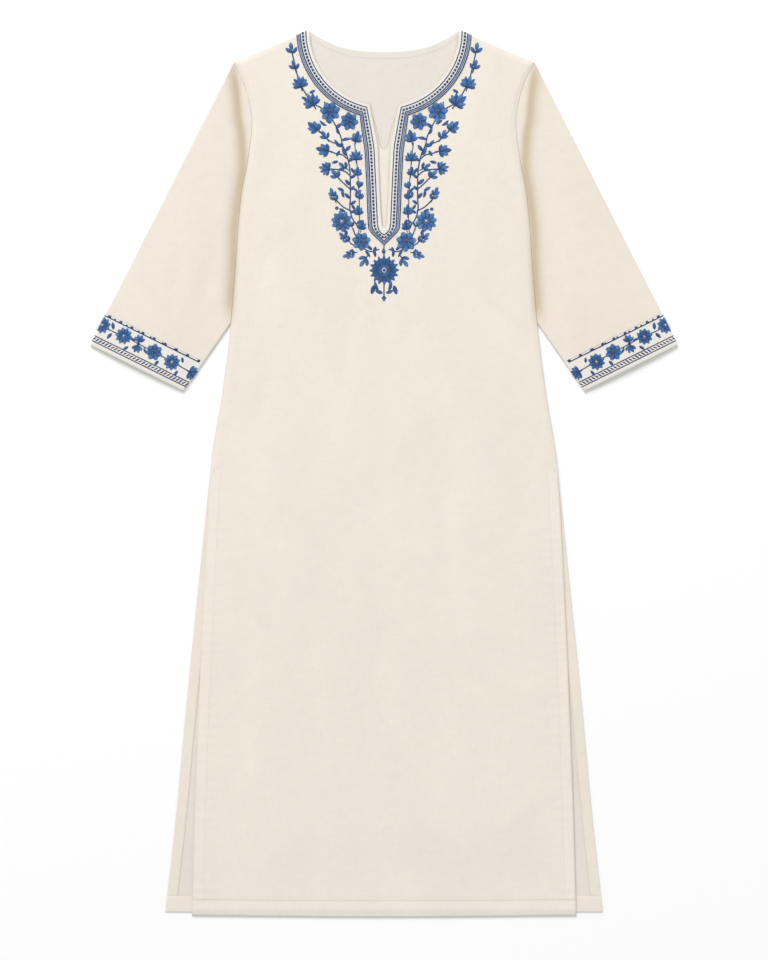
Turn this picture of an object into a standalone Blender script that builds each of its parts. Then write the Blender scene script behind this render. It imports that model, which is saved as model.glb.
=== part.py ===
"""Kurta tunic with three-quarter sleeves, laid flat on its back.

Metres, +Z up. The garment lies on the plane z = 0 with its front up: +Y runs to
the collar, -Y to the hem, and +X is the wearer's left. The origin is the centre
of the underside of the whole garment's box.
"""

import math
from collections import namedtuple

import bmesh
import bpy
import numpy as np

# ---- driving dimensions -------------------------------------------------------

HALF_LENGTH = 0.6195          # neck point of the shoulder at +, front hem at -
NECK_RADIUS = 0.1036          # the front neck is half a circle round the top
BACK_NECK_DROP = 0.0287       # how far the back neck dips at its middle
BACK_NECK_POWER = 2.7         # above 2, the dip is flat in the middle
NECK_STEP = 0.003             # the shoulder seam starts this far outside the neck circle
SHOULDER_TIP = (0.2107, 0.5754)

V_TOP_HALF = 0.0196           # the V opening, from the neck circle down
V_BASE_HALF = 0.0084
V_BASE_Y = 0.462
SLIT_TOP_HALF = 0.0077        # the narrow slit below it
SLIT_TOP_Y = 0.453
SLIT_MIDDLE = (0.0058, 0.4020)
SLIT_END_HALF = 0.0026
SLIT_END_Y = 0.3458

SIDE_SLIT_Y = 0.0042          # the side seams end here and the side slits begin
BACK_HEM_Y = -0.6125
HEM_BOW = 0.0025              # the front hem rises this much from middle to side

CUFF_OUTER = (0.4112, 0.1810)
CUFF_INNER = (0.2800, 0.1162)
CUFF_DEPTH = 0.0480

CLOTH = 0.0012                # wall of the panels and sleeves
STRIP = 0.0010                # wall of bands, hems and facing
GAP = 0.0003                  # between pieces, at seams and between layers
SEAM = GAP / 2                # each piece stops this far from the seam's line
SLEEVE_HEIGHT = 0.0040        # a sleeve pressed flat, at its folds

BOTTOM_HEM_DEPTH = 0.0220
SLIT_HEM_DEPTH = 0.0150
NECK_BAND_WIDTH = 0.0194
FACING_WIDTH = 0.0090

# Heights of the lower face of each layer, from the surface up.
BACK_LEVEL = 0.0
INSIDE_LEVEL = BACK_LEVEL + CLOTH + GAP
FRONT_LEVEL = INSIDE_LEVEL + STRIP + GAP
SKIRT_LEVEL = FRONT_LEVEL + STRIP + GAP
SEAM_LEVEL = BACK_LEVEL + CLOTH + GAP

# Sides of the body, one row for each height: y, half width of the front and back.
SideRow = namedtuple("SideRow", "y front back")
SIDES = (
    SideRow(0.5754, 0.2107, 0.2107),   # shoulder tip
    SideRow(0.5360, 0.1925, 0.1925),
    SideRow(0.4910, 0.1845, 0.1845),   # armhole, where it cuts in most
    SideRow(0.4450, 0.1895, 0.1895),
    SideRow(0.3890, 0.2000, 0.2000),
    SideRow(0.2810, 0.2086, 0.2086),
    SideRow(0.2110, 0.2145, 0.2145),   # underarm
    SideRow(0.1246, 0.2250, 0.2250),
    SideRow(0.0042, 0.2429, 0.2429),   # top of the side slit
    SideRow(-0.1710, 0.2527, 0.2615),
    SideRow(-0.3250, 0.2595, 0.2770),
    SideRow(-0.4770, 0.2650, 0.2912),
    SideRow(-0.6195, 0.2690, 0.3070),  # hem
)
UNDERARM_Y = 0.2110

# The neck band beside the V and the slit: its edge at the opening, then its outer edge.
BandRow = namedtuple("BandRow", "inner_x inner_y outer_x outer_y")
BAND_ROWS = (
    BandRow(0.0000, 0.3448, 0.0000, 0.3190),   # the point below the slit
    BandRow(0.0030, 0.3505, 0.0227, 0.3420),   # where the sides turn in to the point
    BandRow(0.0062, 0.4020, 0.0252, 0.4020),
    BandRow(0.0088, 0.4620, 0.0281, 0.4560),   # bottom of the V
    BandRow(0.0199, 0.5173, 0.0345, 0.5018),   # corner of the V and the round neck
)

# The insert behind the slit. Its upper edge dips in a narrow U, whose arms run up
# under the V: the dip's edge, then the hidden outer edge.
InsertRow = namedtuple("InsertRow", "dip_x dip_y outer_x outer_y")
INSERT_ROWS = (
    InsertRow(0.0000, 0.3290, 0.0150, 0.3290),
    InsertRow(0.0000, 0.3650, 0.0150, 0.3650),
    InsertRow(0.0000, 0.4000, 0.0150, 0.4000),
    InsertRow(0.0000, 0.4300, 0.0150, 0.4280),
    InsertRow(0.0000, 0.4555, 0.0150, 0.4480),   # bottom of the dip
    InsertRow(0.0032, 0.4575, 0.0157, 0.4535),
    InsertRow(0.0054, 0.4625, 0.0167, 0.4590),
    InsertRow(0.0080, 0.4760, 0.0187, 0.4720),
    InsertRow(0.0112, 0.4880, 0.0212, 0.4840),
    InsertRow(0.0148, 0.4985, 0.0240, 0.4945),   # ends of the arms
)

# Soft swells of the front, the same on both sides.
Swell = namedtuple("Swell", "x y half_width half_height rise")
SWELLS = (
    Swell(0.105, 0.400, 0.075, 0.180, 0.0007),
    Swell(0.120, 0.250, 0.070, 0.160, 0.0008),
    Swell(0.060, 0.060, 0.090, 0.140, 0.0007),
    Swell(0.080, -0.160, 0.080, 0.200, 0.0007),
    Swell(0.110, -0.330, 0.070, 0.180, 0.0008),
    Swell(0.050, -0.450, 0.090, 0.120, 0.0006),
)

COLOURS = {
    "cotton": (0.870, 0.805, 0.700),
    "cotton_inside": (0.800, 0.740, 0.650),
    "border": (0.560, 0.610, 0.680),
}


# ---- outlines -----------------------------------------------------------------

def smooth_between(rows, value):
    """A curve through rows of (key, result), keys falling, read at value."""
    keys = [row[0] for row in rows]
    results = [row[1] for row in rows]
    slopes = [(results[i + 1] - results[i]) / (keys[i + 1] - keys[i]) for i in range(len(keys) - 1)]
    tangents = [slopes[0]]
    for before, after in zip(slopes, slopes[1:]):
        same_way = before * after > 0
        tangents.append(2 * before * after / (before + after) if same_way else 0.0)
    tangents.append(slopes[-1])
    value = min(max(value, keys[-1]), keys[0])
    i = next(i for i in range(len(keys) - 1) if value >= keys[i + 1])
    run = keys[i + 1] - keys[i]
    t = (value - keys[i]) / run
    return (
        (2 * t**3 - 3 * t**2 + 1) * results[i]
        + (t**3 - 2 * t**2 + t) * run * tangents[i]
        + (3 * t**2 - 2 * t**3) * results[i + 1]
        + (t**3 - t**2) * run * tangents[i + 1]
    )


def side_x(y, panel):
    return smooth_between([(row.y, getattr(row, panel)) for row in SIDES], y)


def shoulder_y(x):
    """The shoulder seam, a straight line from the neck point to the shoulder tip."""
    start = NECK_RADIUS + NECK_STEP
    return HALF_LENGTH + (SHOULDER_TIP[1] - HALF_LENGTH) * (x - start) / (SHOULDER_TIP[0] - start)


def back_neck_y(x):
    return HALF_LENGTH - BACK_NECK_DROP * (1 - (x / NECK_RADIUS) ** BACK_NECK_POWER)


def neck_circle(angle, outset=0.0):
    """A point of the front neck, from 0 at the shoulder to 90 degrees at the middle."""
    reach = NECK_RADIUS + outset
    return reach * math.cos(angle), HALF_LENGTH - reach * math.sin(angle)


V_TOP_ANGLE = math.acos(V_TOP_HALF / NECK_RADIUS)
V_TOP_Y = neck_circle(V_TOP_ANGLE)[1]

# The front neck's edge from the middle out: the slit, the V, then the circle.
NECK_ARC_DEGREES = (70, 60, 50, 41, 32, 23, 15, 8, 3)
FRONT_NECK = (
    [(0.0, SLIT_END_Y), (SLIT_END_HALF, SLIT_END_Y + 0.004), SLIT_MIDDLE, (SLIT_TOP_HALF, SLIT_TOP_Y)]
    + [(V_BASE_HALF, V_BASE_Y), (V_TOP_HALF, V_TOP_Y)]
    + [neck_circle(math.radians(angle)) for angle in NECK_ARC_DEGREES]
    + [(NECK_RADIUS + NECK_STEP, HALF_LENGTH)]
)


def swell(x, y):
    rise = 0.0
    for row in SWELLS:
        away = ((x - row.x) / row.half_width) ** 2 + ((y - row.y) / row.half_height) ** 2
        rise += row.rise * math.exp(-away)
    return rise


def ease(value, start, end):
    """0 at start, 1 at end, soft at both."""
    t = min(max((value - start) / (end - start), 0.0), 1.0)
    return t * t * (3 - 2 * t)


EDGE_ROLL = 0.009             # the front comes down to the back within this of a seam
SKIRT_RISE_LENGTH = 0.080     # the front climbs onto its slit hems over this length


def front_level(x, y):
    """Height of the lower face of the front panel."""
    inward = side_x(y, "front") - abs(x)
    hem_above = y + HALF_LENGTH
    on_slit_hem = 1 - ease(y, SIDE_SLIT_Y, SIDE_SLIT_Y + SKIRT_RISE_LENGTH)
    on_slit_hem *= 1 - ease(inward, 0.020, 0.070)
    on_bottom_hem = 1 - ease(hem_above, 0.028, 0.080)
    level = FRONT_LEVEL + max(on_slit_hem, on_bottom_hem) * (SKIRT_LEVEL - FRONT_LEVEL)
    held = ease(inward, 0.015, 0.060) * ease(hem_above, 0.030, 0.090)
    clear_of_neck = ease(math.hypot(x, y - HALF_LENGTH), 0.150, 0.200) * ease(abs(x), 0.030, 0.060)
    level += swell(x, y) * held * (clear_of_neck if y > 0.25 else 1.0)
    down = 0.0
    if SIDE_SLIT_Y <= y <= UNDERARM_Y:
        ends = min(ease(y, SIDE_SLIT_Y, 0.03), ease(UNDERARM_Y - y, 0, 0.03))
        down = ends * (1 - ease(inward, 0, EDGE_ROLL))
    if abs(x) > NECK_RADIUS + NECK_STEP:
        beyond_band = ease(abs(x), NECK_RADIUS + NECK_BAND_WIDTH, SHOULDER_TIP[0] - 0.050)
        down = max(down, beyond_band * (1 - ease(shoulder_y(abs(x)) - y, 0, EDGE_ROLL)))
    return level + down * (SEAM_LEVEL - level)


# ---- making meshes ------------------------------------------------------------

def material(name, colour):
    made = bpy.data.materials.new(name)
    made.use_nodes = True
    shader = made.node_tree.nodes["Principled BSDF"]
    shader.inputs["Base Color"].default_value = (*colour, 1.0)
    shader.inputs["Roughness"].default_value = 0.85
    shader.inputs["Metallic"].default_value = 0.0
    return made


def grid_object(name, across, along, place, collection, colour):
    """A grid primitive whose points are placed by place(u index, v index)."""
    mesh = bpy.data.meshes.new(name)
    made = bmesh.new()
    bmesh.ops.create_grid(made, x_segments=across - 1, y_segments=along - 1, size=1.0)
    for vertex in made.verts:
        column = round((vertex.co.x + 1) / 2 * (across - 1))
        row = round((vertex.co.y + 1) / 2 * (along - 1))
        vertex.co = place(column, row)
    made.to_mesh(mesh)
    made.free()
    built = bpy.data.objects.new(name, mesh)
    collection.objects.link(built)
    mesh.materials.append(MATERIALS[colour])
    mesh.shade_smooth()
    return built


def mirrored(built):
    """Joins the wearer's right half to the left half, which is open at x = 0."""
    mirror = built.modifiers.new("Mirror", "MIRROR")
    mirror.use_axis = (True, False, False)
    mirror.merge_threshold = 0.00001
    return built


def thickened(built, wall, upwards=True):
    """Gives the sheet its wall, upwards from its own surface or inwards."""
    shell = built.modifiers.new("Wall", "SOLIDIFY")
    shell.thickness = wall
    shell.offset = 1.0 if upwards else -1.0
    shell.use_even_offset = True
    return built


def strip_between(name, first, second, level, wall, collection, colour, steps=2):
    """A strip whose two long edges are the point lists first and second."""
    def place(column, row):
        (ax, ay), (bx, by) = first[row], second[row]
        share = column / (steps - 1)
        x, y = ax + (bx - ax) * share, ay + (by - ay) * share
        return x, y, level(x, y)

    built = grid_object(name, steps, len(first), place, collection, colour)
    face_up(built)
    return thickened(built, wall)


def face_up(built):
    """Turns the open sheet's faces to +Z, so that its wall grows upwards."""
    made = bmesh.new()
    made.from_mesh(built.data)
    if sum(face.normal.z * face.calc_area() for face in made.faces) < 0:
        bmesh.ops.reverse_faces(made, faces=made.faces[:])
    made.to_mesh(built.data)
    made.free()


# ---- panels -------------------------------------------------------------------

FRONT_X = tuple(x for x, _ in FRONT_NECK)
SHOULDER_SHARES = (0.25, 0.50, 0.75, 0.92, 1.0)
PANEL_Y = (
    0.5754, 0.5640, 0.5450, 0.5180, 0.4910, 0.4600, 0.4250, 0.3890, 0.3400, 0.2810, 0.2300, 0.2110,
    0.1950, 0.1500, 0.1000, 0.0500, 0.0200, 0.0042, -0.0150, -0.0450, -0.0850, -0.1300, -0.1800,
    -0.2350, -0.2900, -0.3450, -0.4000, -0.4550, -0.5050, -0.5450, -0.5750, -0.5950, -0.6195,
)


def panel_columns(neck_x, shoulder_start):
    """Shares of the half width at which a panel's columns stand, middle to side."""
    width = SHOULDER_TIP[0] - shoulder_start
    outer = [shoulder_start + width * share for share in SHOULDER_SHARES]
    return [x / SHOULDER_TIP[0] for x in list(neck_x) + outer]


def panel_rows(hem_y):
    return PANEL_Y[:-1] + (hem_y,)


def panel_point(share, y_side, panel, hem_y, top_y, bow=0.0):
    """A point of a panel, on the row that ends at y_side and the column with that share of the
    shoulder's half width. The outer columns follow the side, the inner ones hang straight."""
    run = (y_side - hem_y) / (SHOULDER_TIP[1] - hem_y)
    y = y_side + (top_y - SHOULDER_TIP[1]) * run - bow * (1 - share**2) * (1 - run)
    side = side_x(y_side, panel) - SEAM
    return share * SHOULDER_TIP[0] + share**3 * (side - SHOULDER_TIP[0]), y


def front_panel(collection):
    shares = panel_columns(FRONT_X, FRONT_X[-1])
    tops = [y for _, y in FRONT_NECK]
    tops += [shoulder_y(share * SHOULDER_TIP[0]) - SEAM for share in shares[len(tops):]]

    hem_side = -HALF_LENGTH + HEM_BOW
    rows = panel_rows(hem_side)

    def place(column, row):
        x, y = panel_point(shares[column], rows[row], "front", hem_side, tops[column], HEM_BOW)
        return x, y, front_level(x, y)

    built = grid_object("front_panel", len(shares), len(rows), place, collection, "cotton")
    face_up(built)
    return thickened(mirrored(built), CLOTH)


def back_panel(collection):
    neck_x = [NECK_RADIUS * step / 5 for step in range(6)]
    start = NECK_RADIUS + NECK_STEP
    shares = panel_columns(neck_x, start)

    rows = panel_rows(BACK_HEM_Y)

    def place(column, row):
        x_top = shares[column] * SHOULDER_TIP[0]
        top = back_neck_y(x_top) if x_top <= NECK_RADIUS else shoulder_y(max(x_top, start)) - SEAM
        x, y = panel_point(shares[column], rows[row], "back", BACK_HEM_Y, top)
        return x, y, BACK_LEVEL

    built = grid_object("back_panel", len(shares), len(rows), place, collection, "cotton_inside")
    face_up(built)
    return thickened(mirrored(built), CLOTH)


# ---- sleeves and cuffs --------------------------------------------------------

FOLD_DEGREES = (0, 35, 65, 90)
SLEEVE_CROWN = 0.0016
ARMHOLE_ROWS = tuple(y for y in reversed(PANEL_Y) if y >= UNDERARM_Y)
ARMHOLE_X = tuple(side_x(y, "front") for y in ARMHOLE_ROWS)
SLEEVE_ROWS = (0, 0.07, 0.18, 0.32, 0.48, 0.65, 0.83, 1)
CUFF_ROWS = (0, 0.35, 0.70, 1)
FOLD_CLEARANCE = 0.03         # share of the armhole


def between(first, second, share):
    return tuple(a + (b - a) * share for a, b in zip(first, second))


def armhole_point(share):
    """The armhole seam from the shoulder tip, 0, to the underarm, 1, on the panels' own rows."""
    y = SHOULDER_TIP[1] + (UNDERARM_Y - SHOULDER_TIP[1]) * share
    return float(np.interp(y, ARMHOLE_ROWS, ARMHOLE_X)), y


def up_from_cuff(share, depth):
    """A point of the line parallel to the cuff's edge, depth above it, from fold to underarm."""
    across = (CUFF_INNER[0] - CUFF_OUTER[0], CUFF_INNER[1] - CUFF_OUTER[1])
    width = math.hypot(*across)
    up = (across[1] / width, -across[0] / width)

    def climbed(corner, towards):
        run = (towards[0] - corner[0], towards[1] - corner[1])
        climb = run[0] * up[0] + run[1] * up[1]
        return between(corner, towards, depth / climb)

    outer = climbed(CUFF_OUTER, SHOULDER_TIP)
    inner = climbed(CUFF_INNER, armhole_point(1))
    return between(outer, inner, share)


def sleeve_section(width):
    """Ring of a flattened sleeve: (share across from the fold, height), all the way round."""
    radius = SLEEVE_HEIGHT / 2
    folds = [math.radians(angle) for angle in FOLD_DEGREES]
    turn = [(radius * (1 - math.cos(a)) / width, radius * math.sin(a)) for a in folds]
    drop = SHOULDER_TIP[1] - UNDERARM_Y
    upper = [(share, radius + rise) for share, rise in turn]
    upper += [((SHOULDER_TIP[1] - y) / drop, SLEEVE_HEIGHT) for y in reversed(ARMHOLE_ROWS[1:-1])]
    upper += [(1 - share, radius + rise) for share, rise in reversed(turn)]
    lower = [(share, SLEEVE_HEIGHT - height) for share, height in reversed(upper[1:-1])]
    return upper + lower


def tube(name, line_start, line_end, rows, side, collection, colour):
    """A flattened tube between two lines, each read from outer fold, 0, to underarm, 1."""
    start_width = math.dist(line_start(0), line_start(1))
    end_width = math.dist(line_end(0), line_end(1))
    rings = [sleeve_section(start_width + (end_width - start_width) * along) for along in rows]
    round_steps = len(rings[0])

    def place(column, row):
        share, height = rings[row][column % round_steps]
        x, y = between(line_start(share), line_end(share), rows[row])
        from_armhole = math.dist((x, y), armhole_point(share))
        crown = SLEEVE_CROWN * ease(from_armhole, 0, 0.090) * math.sin(math.pi * share) ** 0.7
        return side * x, y, height + (crown if height > SLEEVE_HEIGHT / 2 else 0.0)

    built = grid_object(name, round_steps + 1, len(rows), place, collection, colour)
    made = bmesh.new()
    made.from_mesh(built.data)
    bmesh.ops.remove_doubles(made, verts=made.verts[:], dist=0.00001)
    top = max(made.faces, key=lambda face: face.calc_center_median().z)
    if top.normal.z < 0:
        bmesh.ops.reverse_faces(made, faces=made.faces[:])
    made.to_mesh(built.data)
    made.free()
    return thickened(built, CLOTH, upwards=False)


def sleeves(collection):
    def armhole(share):
        """The seam's line, and at the outer fold a wall further out, where the wall turns in."""
        x, y = armhole_point(share)
        return x + GAP + CLOTH * (1 - ease(share, 0, FOLD_CLEARANCE)), y

    def sleeve_end(share):
        return up_from_cuff(share, CUFF_DEPTH + SEAM)

    def cuff_start(share):
        return up_from_cuff(share, CUFF_DEPTH - SEAM)

    def cuff_edge(share):
        return up_from_cuff(share, 0)

    for word, side in (("left", 1), ("right", -1)):
        tube(f"sleeve_{word}", armhole, sleeve_end, SLEEVE_ROWS, side, collection, "cotton")
        tube(f"cuff_band_{word}", cuff_start, cuff_edge, CUFF_ROWS, side, collection, "border")


# ---- strips -------------------------------------------------------------------

def neck_band(collection):
    """The border on the front: round the neck, down the V and the slit to its point."""
    inner = [(row.inner_x, row.inner_y) for row in BAND_ROWS]
    outer = [(row.outer_x, row.outer_y) for row in BAND_ROWS]
    arc = [math.radians(angle) for angle in NECK_ARC_DEGREES]
    inner += [neck_circle(angle, GAP) for angle in arc]
    outer += [neck_circle(angle, NECK_BAND_WIDTH) for angle in arc]
    end_x = NECK_RADIUS + NECK_BAND_WIDTH
    inner += [(NECK_RADIUS + NECK_STEP, HALF_LENGTH - SEAM)]
    outer += [(end_x, shoulder_y(end_x) - SEAM)]

    def level(x, y):
        return front_level(x, y) + CLOTH + GAP

    built = strip_between("neck_band", inner, outer, level, STRIP, collection, "border", steps=4)
    return mirrored_below_wall(built)


def mirrored_below_wall(built):
    """Puts the Mirror before the wall, so that the halves join as one sheet."""
    mirrored(built)
    built.modifiers.move(len(built.modifiers) - 1, 0)
    return built


def back_neck_facing(collection):
    xs = [0.95 * NECK_RADIUS * step / 8 for step in range(9)]
    upper = [(x, back_neck_y(x) - 0.0004) for x in xs]
    lower = [(x * 0.985, y - FACING_WIDTH) for x, y in upper]
    built = strip_between(
        "back_neck_facing", upper, lower, lambda x, y: INSIDE_LEVEL, STRIP, collection, "cotton_inside"
    )
    return mirrored_below_wall(built)


def placket_insert(collection):
    """The strip behind the slit, with its dipped upper edge."""
    dip = [(row.dip_x, row.dip_y) for row in INSERT_ROWS]
    outer = [(row.outer_x, row.outer_y) for row in INSERT_ROWS]
    built = strip_between(
        "placket_insert", dip, outer, lambda x, y: INSIDE_LEVEL, STRIP, collection, "cotton", steps=3
    )
    return mirrored_below_wall(built)


def under_front(x, y):
    """Level of a hem turned under the front."""
    return front_level(x, y) - GAP - STRIP


def bottom_hem(name, panel, hem_y, level, collection, colour):
    """The bottom edge turned to the inside, the full width of the panel."""
    steps = 9
    lower, upper = [], []
    for step in range(steps):
        share = step / (steps - 1)
        bow = HEM_BOW * share**2 if panel == "front" else 0.0
        y = hem_y + bow + SEAM
        lower.append((share * (side_x(y, panel) - SEAM), y))
        upper.append((share * (side_x(y + BOTTOM_HEM_DEPTH, panel) - SEAM), y + BOTTOM_HEM_DEPTH))
    built = strip_between(name, lower, upper, level, STRIP, collection, colour, steps=3)
    return mirrored_below_wall(built)


def slit_hem(name, panel, side, hem_y, level, collection, colour):
    """A slit edge turned to the inside, from the top of the slit to the bottom hem."""
    end = hem_y + BOTTOM_HEM_DEPTH + HEM_BOW + GAP + SEAM
    outer, inner = [], []
    for y in [y for y in PANEL_Y if end < y <= SIDE_SLIT_Y] + [end]:
        x = side_x(y, panel) - SEAM
        outer.append((side * x, y))
        inner.append((side * (x - SLIT_HEM_DEPTH), y))
    return strip_between(name, outer, inner, level, STRIP, collection, colour, steps=3)


def hems(collection):
    def on_back(x, y):
        return INSIDE_LEVEL

    bottom_hem("front_hem", "front", -HALF_LENGTH, under_front, collection, "cotton")
    bottom_hem("back_hem", "back", BACK_HEM_Y, on_back, collection, "cotton_inside")
    for word, side in (("left", 1), ("right", -1)):
        slit_hem(f"slit_hem_front_{word}", "front", side, -HALF_LENGTH, under_front, collection, "cotton")
        slit_hem(f"slit_hem_back_{word}", "back", side, BACK_HEM_Y, on_back, collection, "cotton_inside")


# ---- the kurta ----------------------------------------------------------------

for old in list(bpy.data.objects):
    bpy.data.objects.remove(old)

MATERIALS = {name: material(name, colour) for name, colour in COLOURS.items()}
kurta = bpy.data.collections.new("kurta")
bpy.context.scene.collection.children.link(kurta)

back_panel(kurta)
front_panel(kurta)
sleeves(kurta)
neck_band(kurta)
back_neck_facing(kurta)
placket_insert(kurta)
hems(kurta)
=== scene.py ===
import math
from collections import namedtuple

import bmesh
import bpy
import numpy as np
from bpy.props import FloatProperty, FloatVectorProperty, PointerProperty
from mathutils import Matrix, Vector


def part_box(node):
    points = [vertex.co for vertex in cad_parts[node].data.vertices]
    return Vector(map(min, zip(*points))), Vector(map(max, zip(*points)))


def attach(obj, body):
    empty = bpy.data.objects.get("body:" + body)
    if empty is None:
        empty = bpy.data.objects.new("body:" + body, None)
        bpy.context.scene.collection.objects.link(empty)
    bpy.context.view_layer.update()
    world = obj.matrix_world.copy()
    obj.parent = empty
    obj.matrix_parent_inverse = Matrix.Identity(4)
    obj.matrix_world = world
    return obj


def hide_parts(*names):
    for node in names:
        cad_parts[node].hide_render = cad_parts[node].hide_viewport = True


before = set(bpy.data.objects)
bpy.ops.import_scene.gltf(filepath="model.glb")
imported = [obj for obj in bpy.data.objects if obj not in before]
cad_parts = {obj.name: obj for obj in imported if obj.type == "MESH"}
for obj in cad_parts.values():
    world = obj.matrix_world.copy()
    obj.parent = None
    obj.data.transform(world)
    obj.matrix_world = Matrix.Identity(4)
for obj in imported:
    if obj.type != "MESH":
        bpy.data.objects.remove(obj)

bl_info = {
    "name": "Embroidered kurta, laid flat",
    "version": (1, 0, 0),
    "blender": (4, 5, 0),
    "location": "3D View > Sidebar > Kurta",
    "description": "Makes the cloth, seams and blue embroidery of a kurta laid flat, with its stage",
    "category": "Object",
}

# ---- sizes, from the frame where it has them (metres, +Y to the collar, +Z up) ----

MM = 0.001
LEFT, RIGHT = 1, -1                      # the wearer's sides: left is at +X
WORDS = {LEFT: "left", RIGHT: "right"}

HALF_LENGTH = -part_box("front_panel")[0][1]
BACK_HEM_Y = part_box("back_panel")[0][1]
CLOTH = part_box("back_panel")[1][2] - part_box("back_panel")[0][2]
INSIDE_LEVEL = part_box("placket_insert")[0][2]
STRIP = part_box("placket_insert")[1][2] - INSIDE_LEVEL
GAP = INSIDE_LEVEL - CLOTH
FRONT_LEVEL = INSIDE_LEVEL + STRIP + GAP
SEAM_LEVEL = CLOTH + GAP
SEAM = GAP / 2
CUFF_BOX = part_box("cuff_band_left")
SLEEVE_HEIGHT = 4.0 * MM

NECK_RADIUS = 103.6 * MM
NECK_STEP = 3.0 * MM
BACK_NECK_DROP = 28.7 * MM
BACK_NECK_POWER = 2.7
SHOULDER_TIP = (0.2107, 0.5754)
UNDERARM_Y = 0.2110
SIDE_SLIT_Y = 0.0042
SLIT_END_Y = 0.3458
HEM_BOW = 2.5 * MM
BOTTOM_HEM = 22.0 * MM
SLIT_HEM = 15.0 * MM
FACING = 9.0 * MM
CUFF_OUTER = (CUFF_BOX[1][0], 0.1810)
CUFF_INNER = (0.2800, 0.1162)
CUFF_DEPTH = 48.0 * MM

SideRow = namedtuple("SideRow", "y front back")
SIDES = (
    SideRow(-0.6195, 0.2690, 0.3070),    # hem
    SideRow(-0.4770, 0.2650, 0.2912),
    SideRow(-0.3250, 0.2595, 0.2770),
    SideRow(-0.1710, 0.2527, 0.2615),
    SideRow(0.0042, 0.2429, 0.2429),     # top of the side slit
    SideRow(0.1246, 0.2250, 0.2250),
    SideRow(0.2110, 0.2145, 0.2145),     # underarm
    SideRow(0.2810, 0.2086, 0.2086),
    SideRow(0.3890, 0.2000, 0.2000),
    SideRow(0.4450, 0.1895, 0.1895),
    SideRow(0.4910, 0.1845, 0.1845),     # armhole, where it cuts in most
    SideRow(0.5360, 0.1925, 0.1925),
    SideRow(0.5754, 0.2107, 0.2107),     # shoulder tip
)

# The neck band beside the slit and the V: the cloth's edge, then the first and the last
# embroidered line. Above the corner all three are arcs round the middle of the neck.
BandRow = namedtuple("BandRow", "edge_x edge_y first_x first_y last_x last_y")
BAND = (
    BandRow(0.0000, 0.3448, 0.0000, 0.3346, 0.0000, 0.3206),
    BandRow(0.0009, 0.3456, 0.0040, 0.3368, 0.0090, 0.3292),
    BandRow(0.0018, 0.3472, 0.0073, 0.3412, 0.0167, 0.3364),
    BandRow(0.0029, 0.3510, 0.0091, 0.3490, 0.0216, 0.3438),
    BandRow(0.0045, 0.3720, 0.0101, 0.3710, 0.0229, 0.3690),
    BandRow(0.0061, 0.4020, 0.0114, 0.4030, 0.0240, 0.4010),
    BandRow(0.0080, 0.4500, 0.0137, 0.4500, 0.0262, 0.4460),
    BandRow(0.0087, 0.4620, 0.0145, 0.4600, 0.0271, 0.4560),
    BandRow(0.0143, 0.4900, 0.0192, 0.4870, 0.0306, 0.4790),
    BandRow(0.0199, 0.5173, 0.0242, 0.5137, 0.0335, 0.5030),
)
FIRST_LINE_RADIUS = 109.2 * MM
LAST_LINE_RADIUS = 121.9 * MM
BAND_MARGIN = 1.1 * MM                   # cloth beyond the last line

# Half of the insert behind the slit: the dip in its upper edge, then its hidden outer edge.
InsertRow = namedtuple("InsertRow", "dip_x dip_y outer_x outer_y")
INSERT = (
    InsertRow(0.0000, 0.3290, 0.0150, 0.3290),
    InsertRow(0.0000, 0.4300, 0.0150, 0.4280),
    InsertRow(0.0000, 0.4555, 0.0150, 0.4480),   # bottom of the dip
    InsertRow(0.0018, 0.4560, 0.0153, 0.4505),
    InsertRow(0.0034, 0.4575, 0.0157, 0.4535),
    InsertRow(0.0054, 0.4625, 0.0167, 0.4590),
    InsertRow(0.0080, 0.4760, 0.0187, 0.4720),
    InsertRow(0.0112, 0.4880, 0.0212, 0.4840),
    InsertRow(0.0148, 0.4985, 0.0240, 0.4945),   # end of the arm
)

# ---- outlines ----

def cubic(t, run, first, last, first_slope, last_slope):
    """The curve from first to last that has the given slopes at its ends."""
    return (
        (2 * t**3 - 3 * t**2 + 1) * first
        + (t**3 - 2 * t**2 + t) * run * first_slope
        + (3 * t**2 - 2 * t**3) * last
        + (t**3 - t**2) * run * last_slope
    )


def smooth_through(keys, values, at):
    """A curve through rising keys that never overshoots, read at an array of places."""
    keys, values = np.asarray(keys, float), np.asarray(values, float)
    slopes = np.diff(values) / np.diff(keys)
    before, after = slopes[:-1], slopes[1:]
    together = before * after > 0
    joined = np.where(together, before + after, 1.0)
    inner = np.where(together, 2 * before * after / joined, 0.0)
    tangents = np.concatenate([slopes[:1], inner, slopes[-1:]])
    at = np.clip(at, keys[0], keys[-1])
    i = np.clip(np.searchsorted(keys, at, side="right") - 1, 0, len(keys) - 2)
    run = keys[i + 1] - keys[i]
    return cubic((at - keys[i]) / run, run, values[i], values[i + 1], tangents[i], tangents[i + 1])


def ease(value, start, end):
    """0 at start, 1 at end, soft at both."""
    t = np.clip((np.asarray(value, float) - start) / (end - start), 0.0, 1.0)
    return t * t * (3 - 2 * t)


def bell(value, middle, width):
    return np.exp(-(((value - middle) / width) ** 2))


def side_x(y, panel="front"):
    return smooth_through([row.y for row in SIDES], [getattr(row, panel) for row in SIDES], y)


def shoulder_y(x):
    start = NECK_RADIUS + NECK_STEP
    return HALF_LENGTH + (SHOULDER_TIP[1] - HALF_LENGTH) * (x - start) / (SHOULDER_TIP[0] - start)


def back_neck_y(x):
    share = np.clip(x / NECK_RADIUS, 0, 1)
    return HALF_LENGTH - BACK_NECK_DROP * (1 - share**BACK_NECK_POWER)


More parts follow.
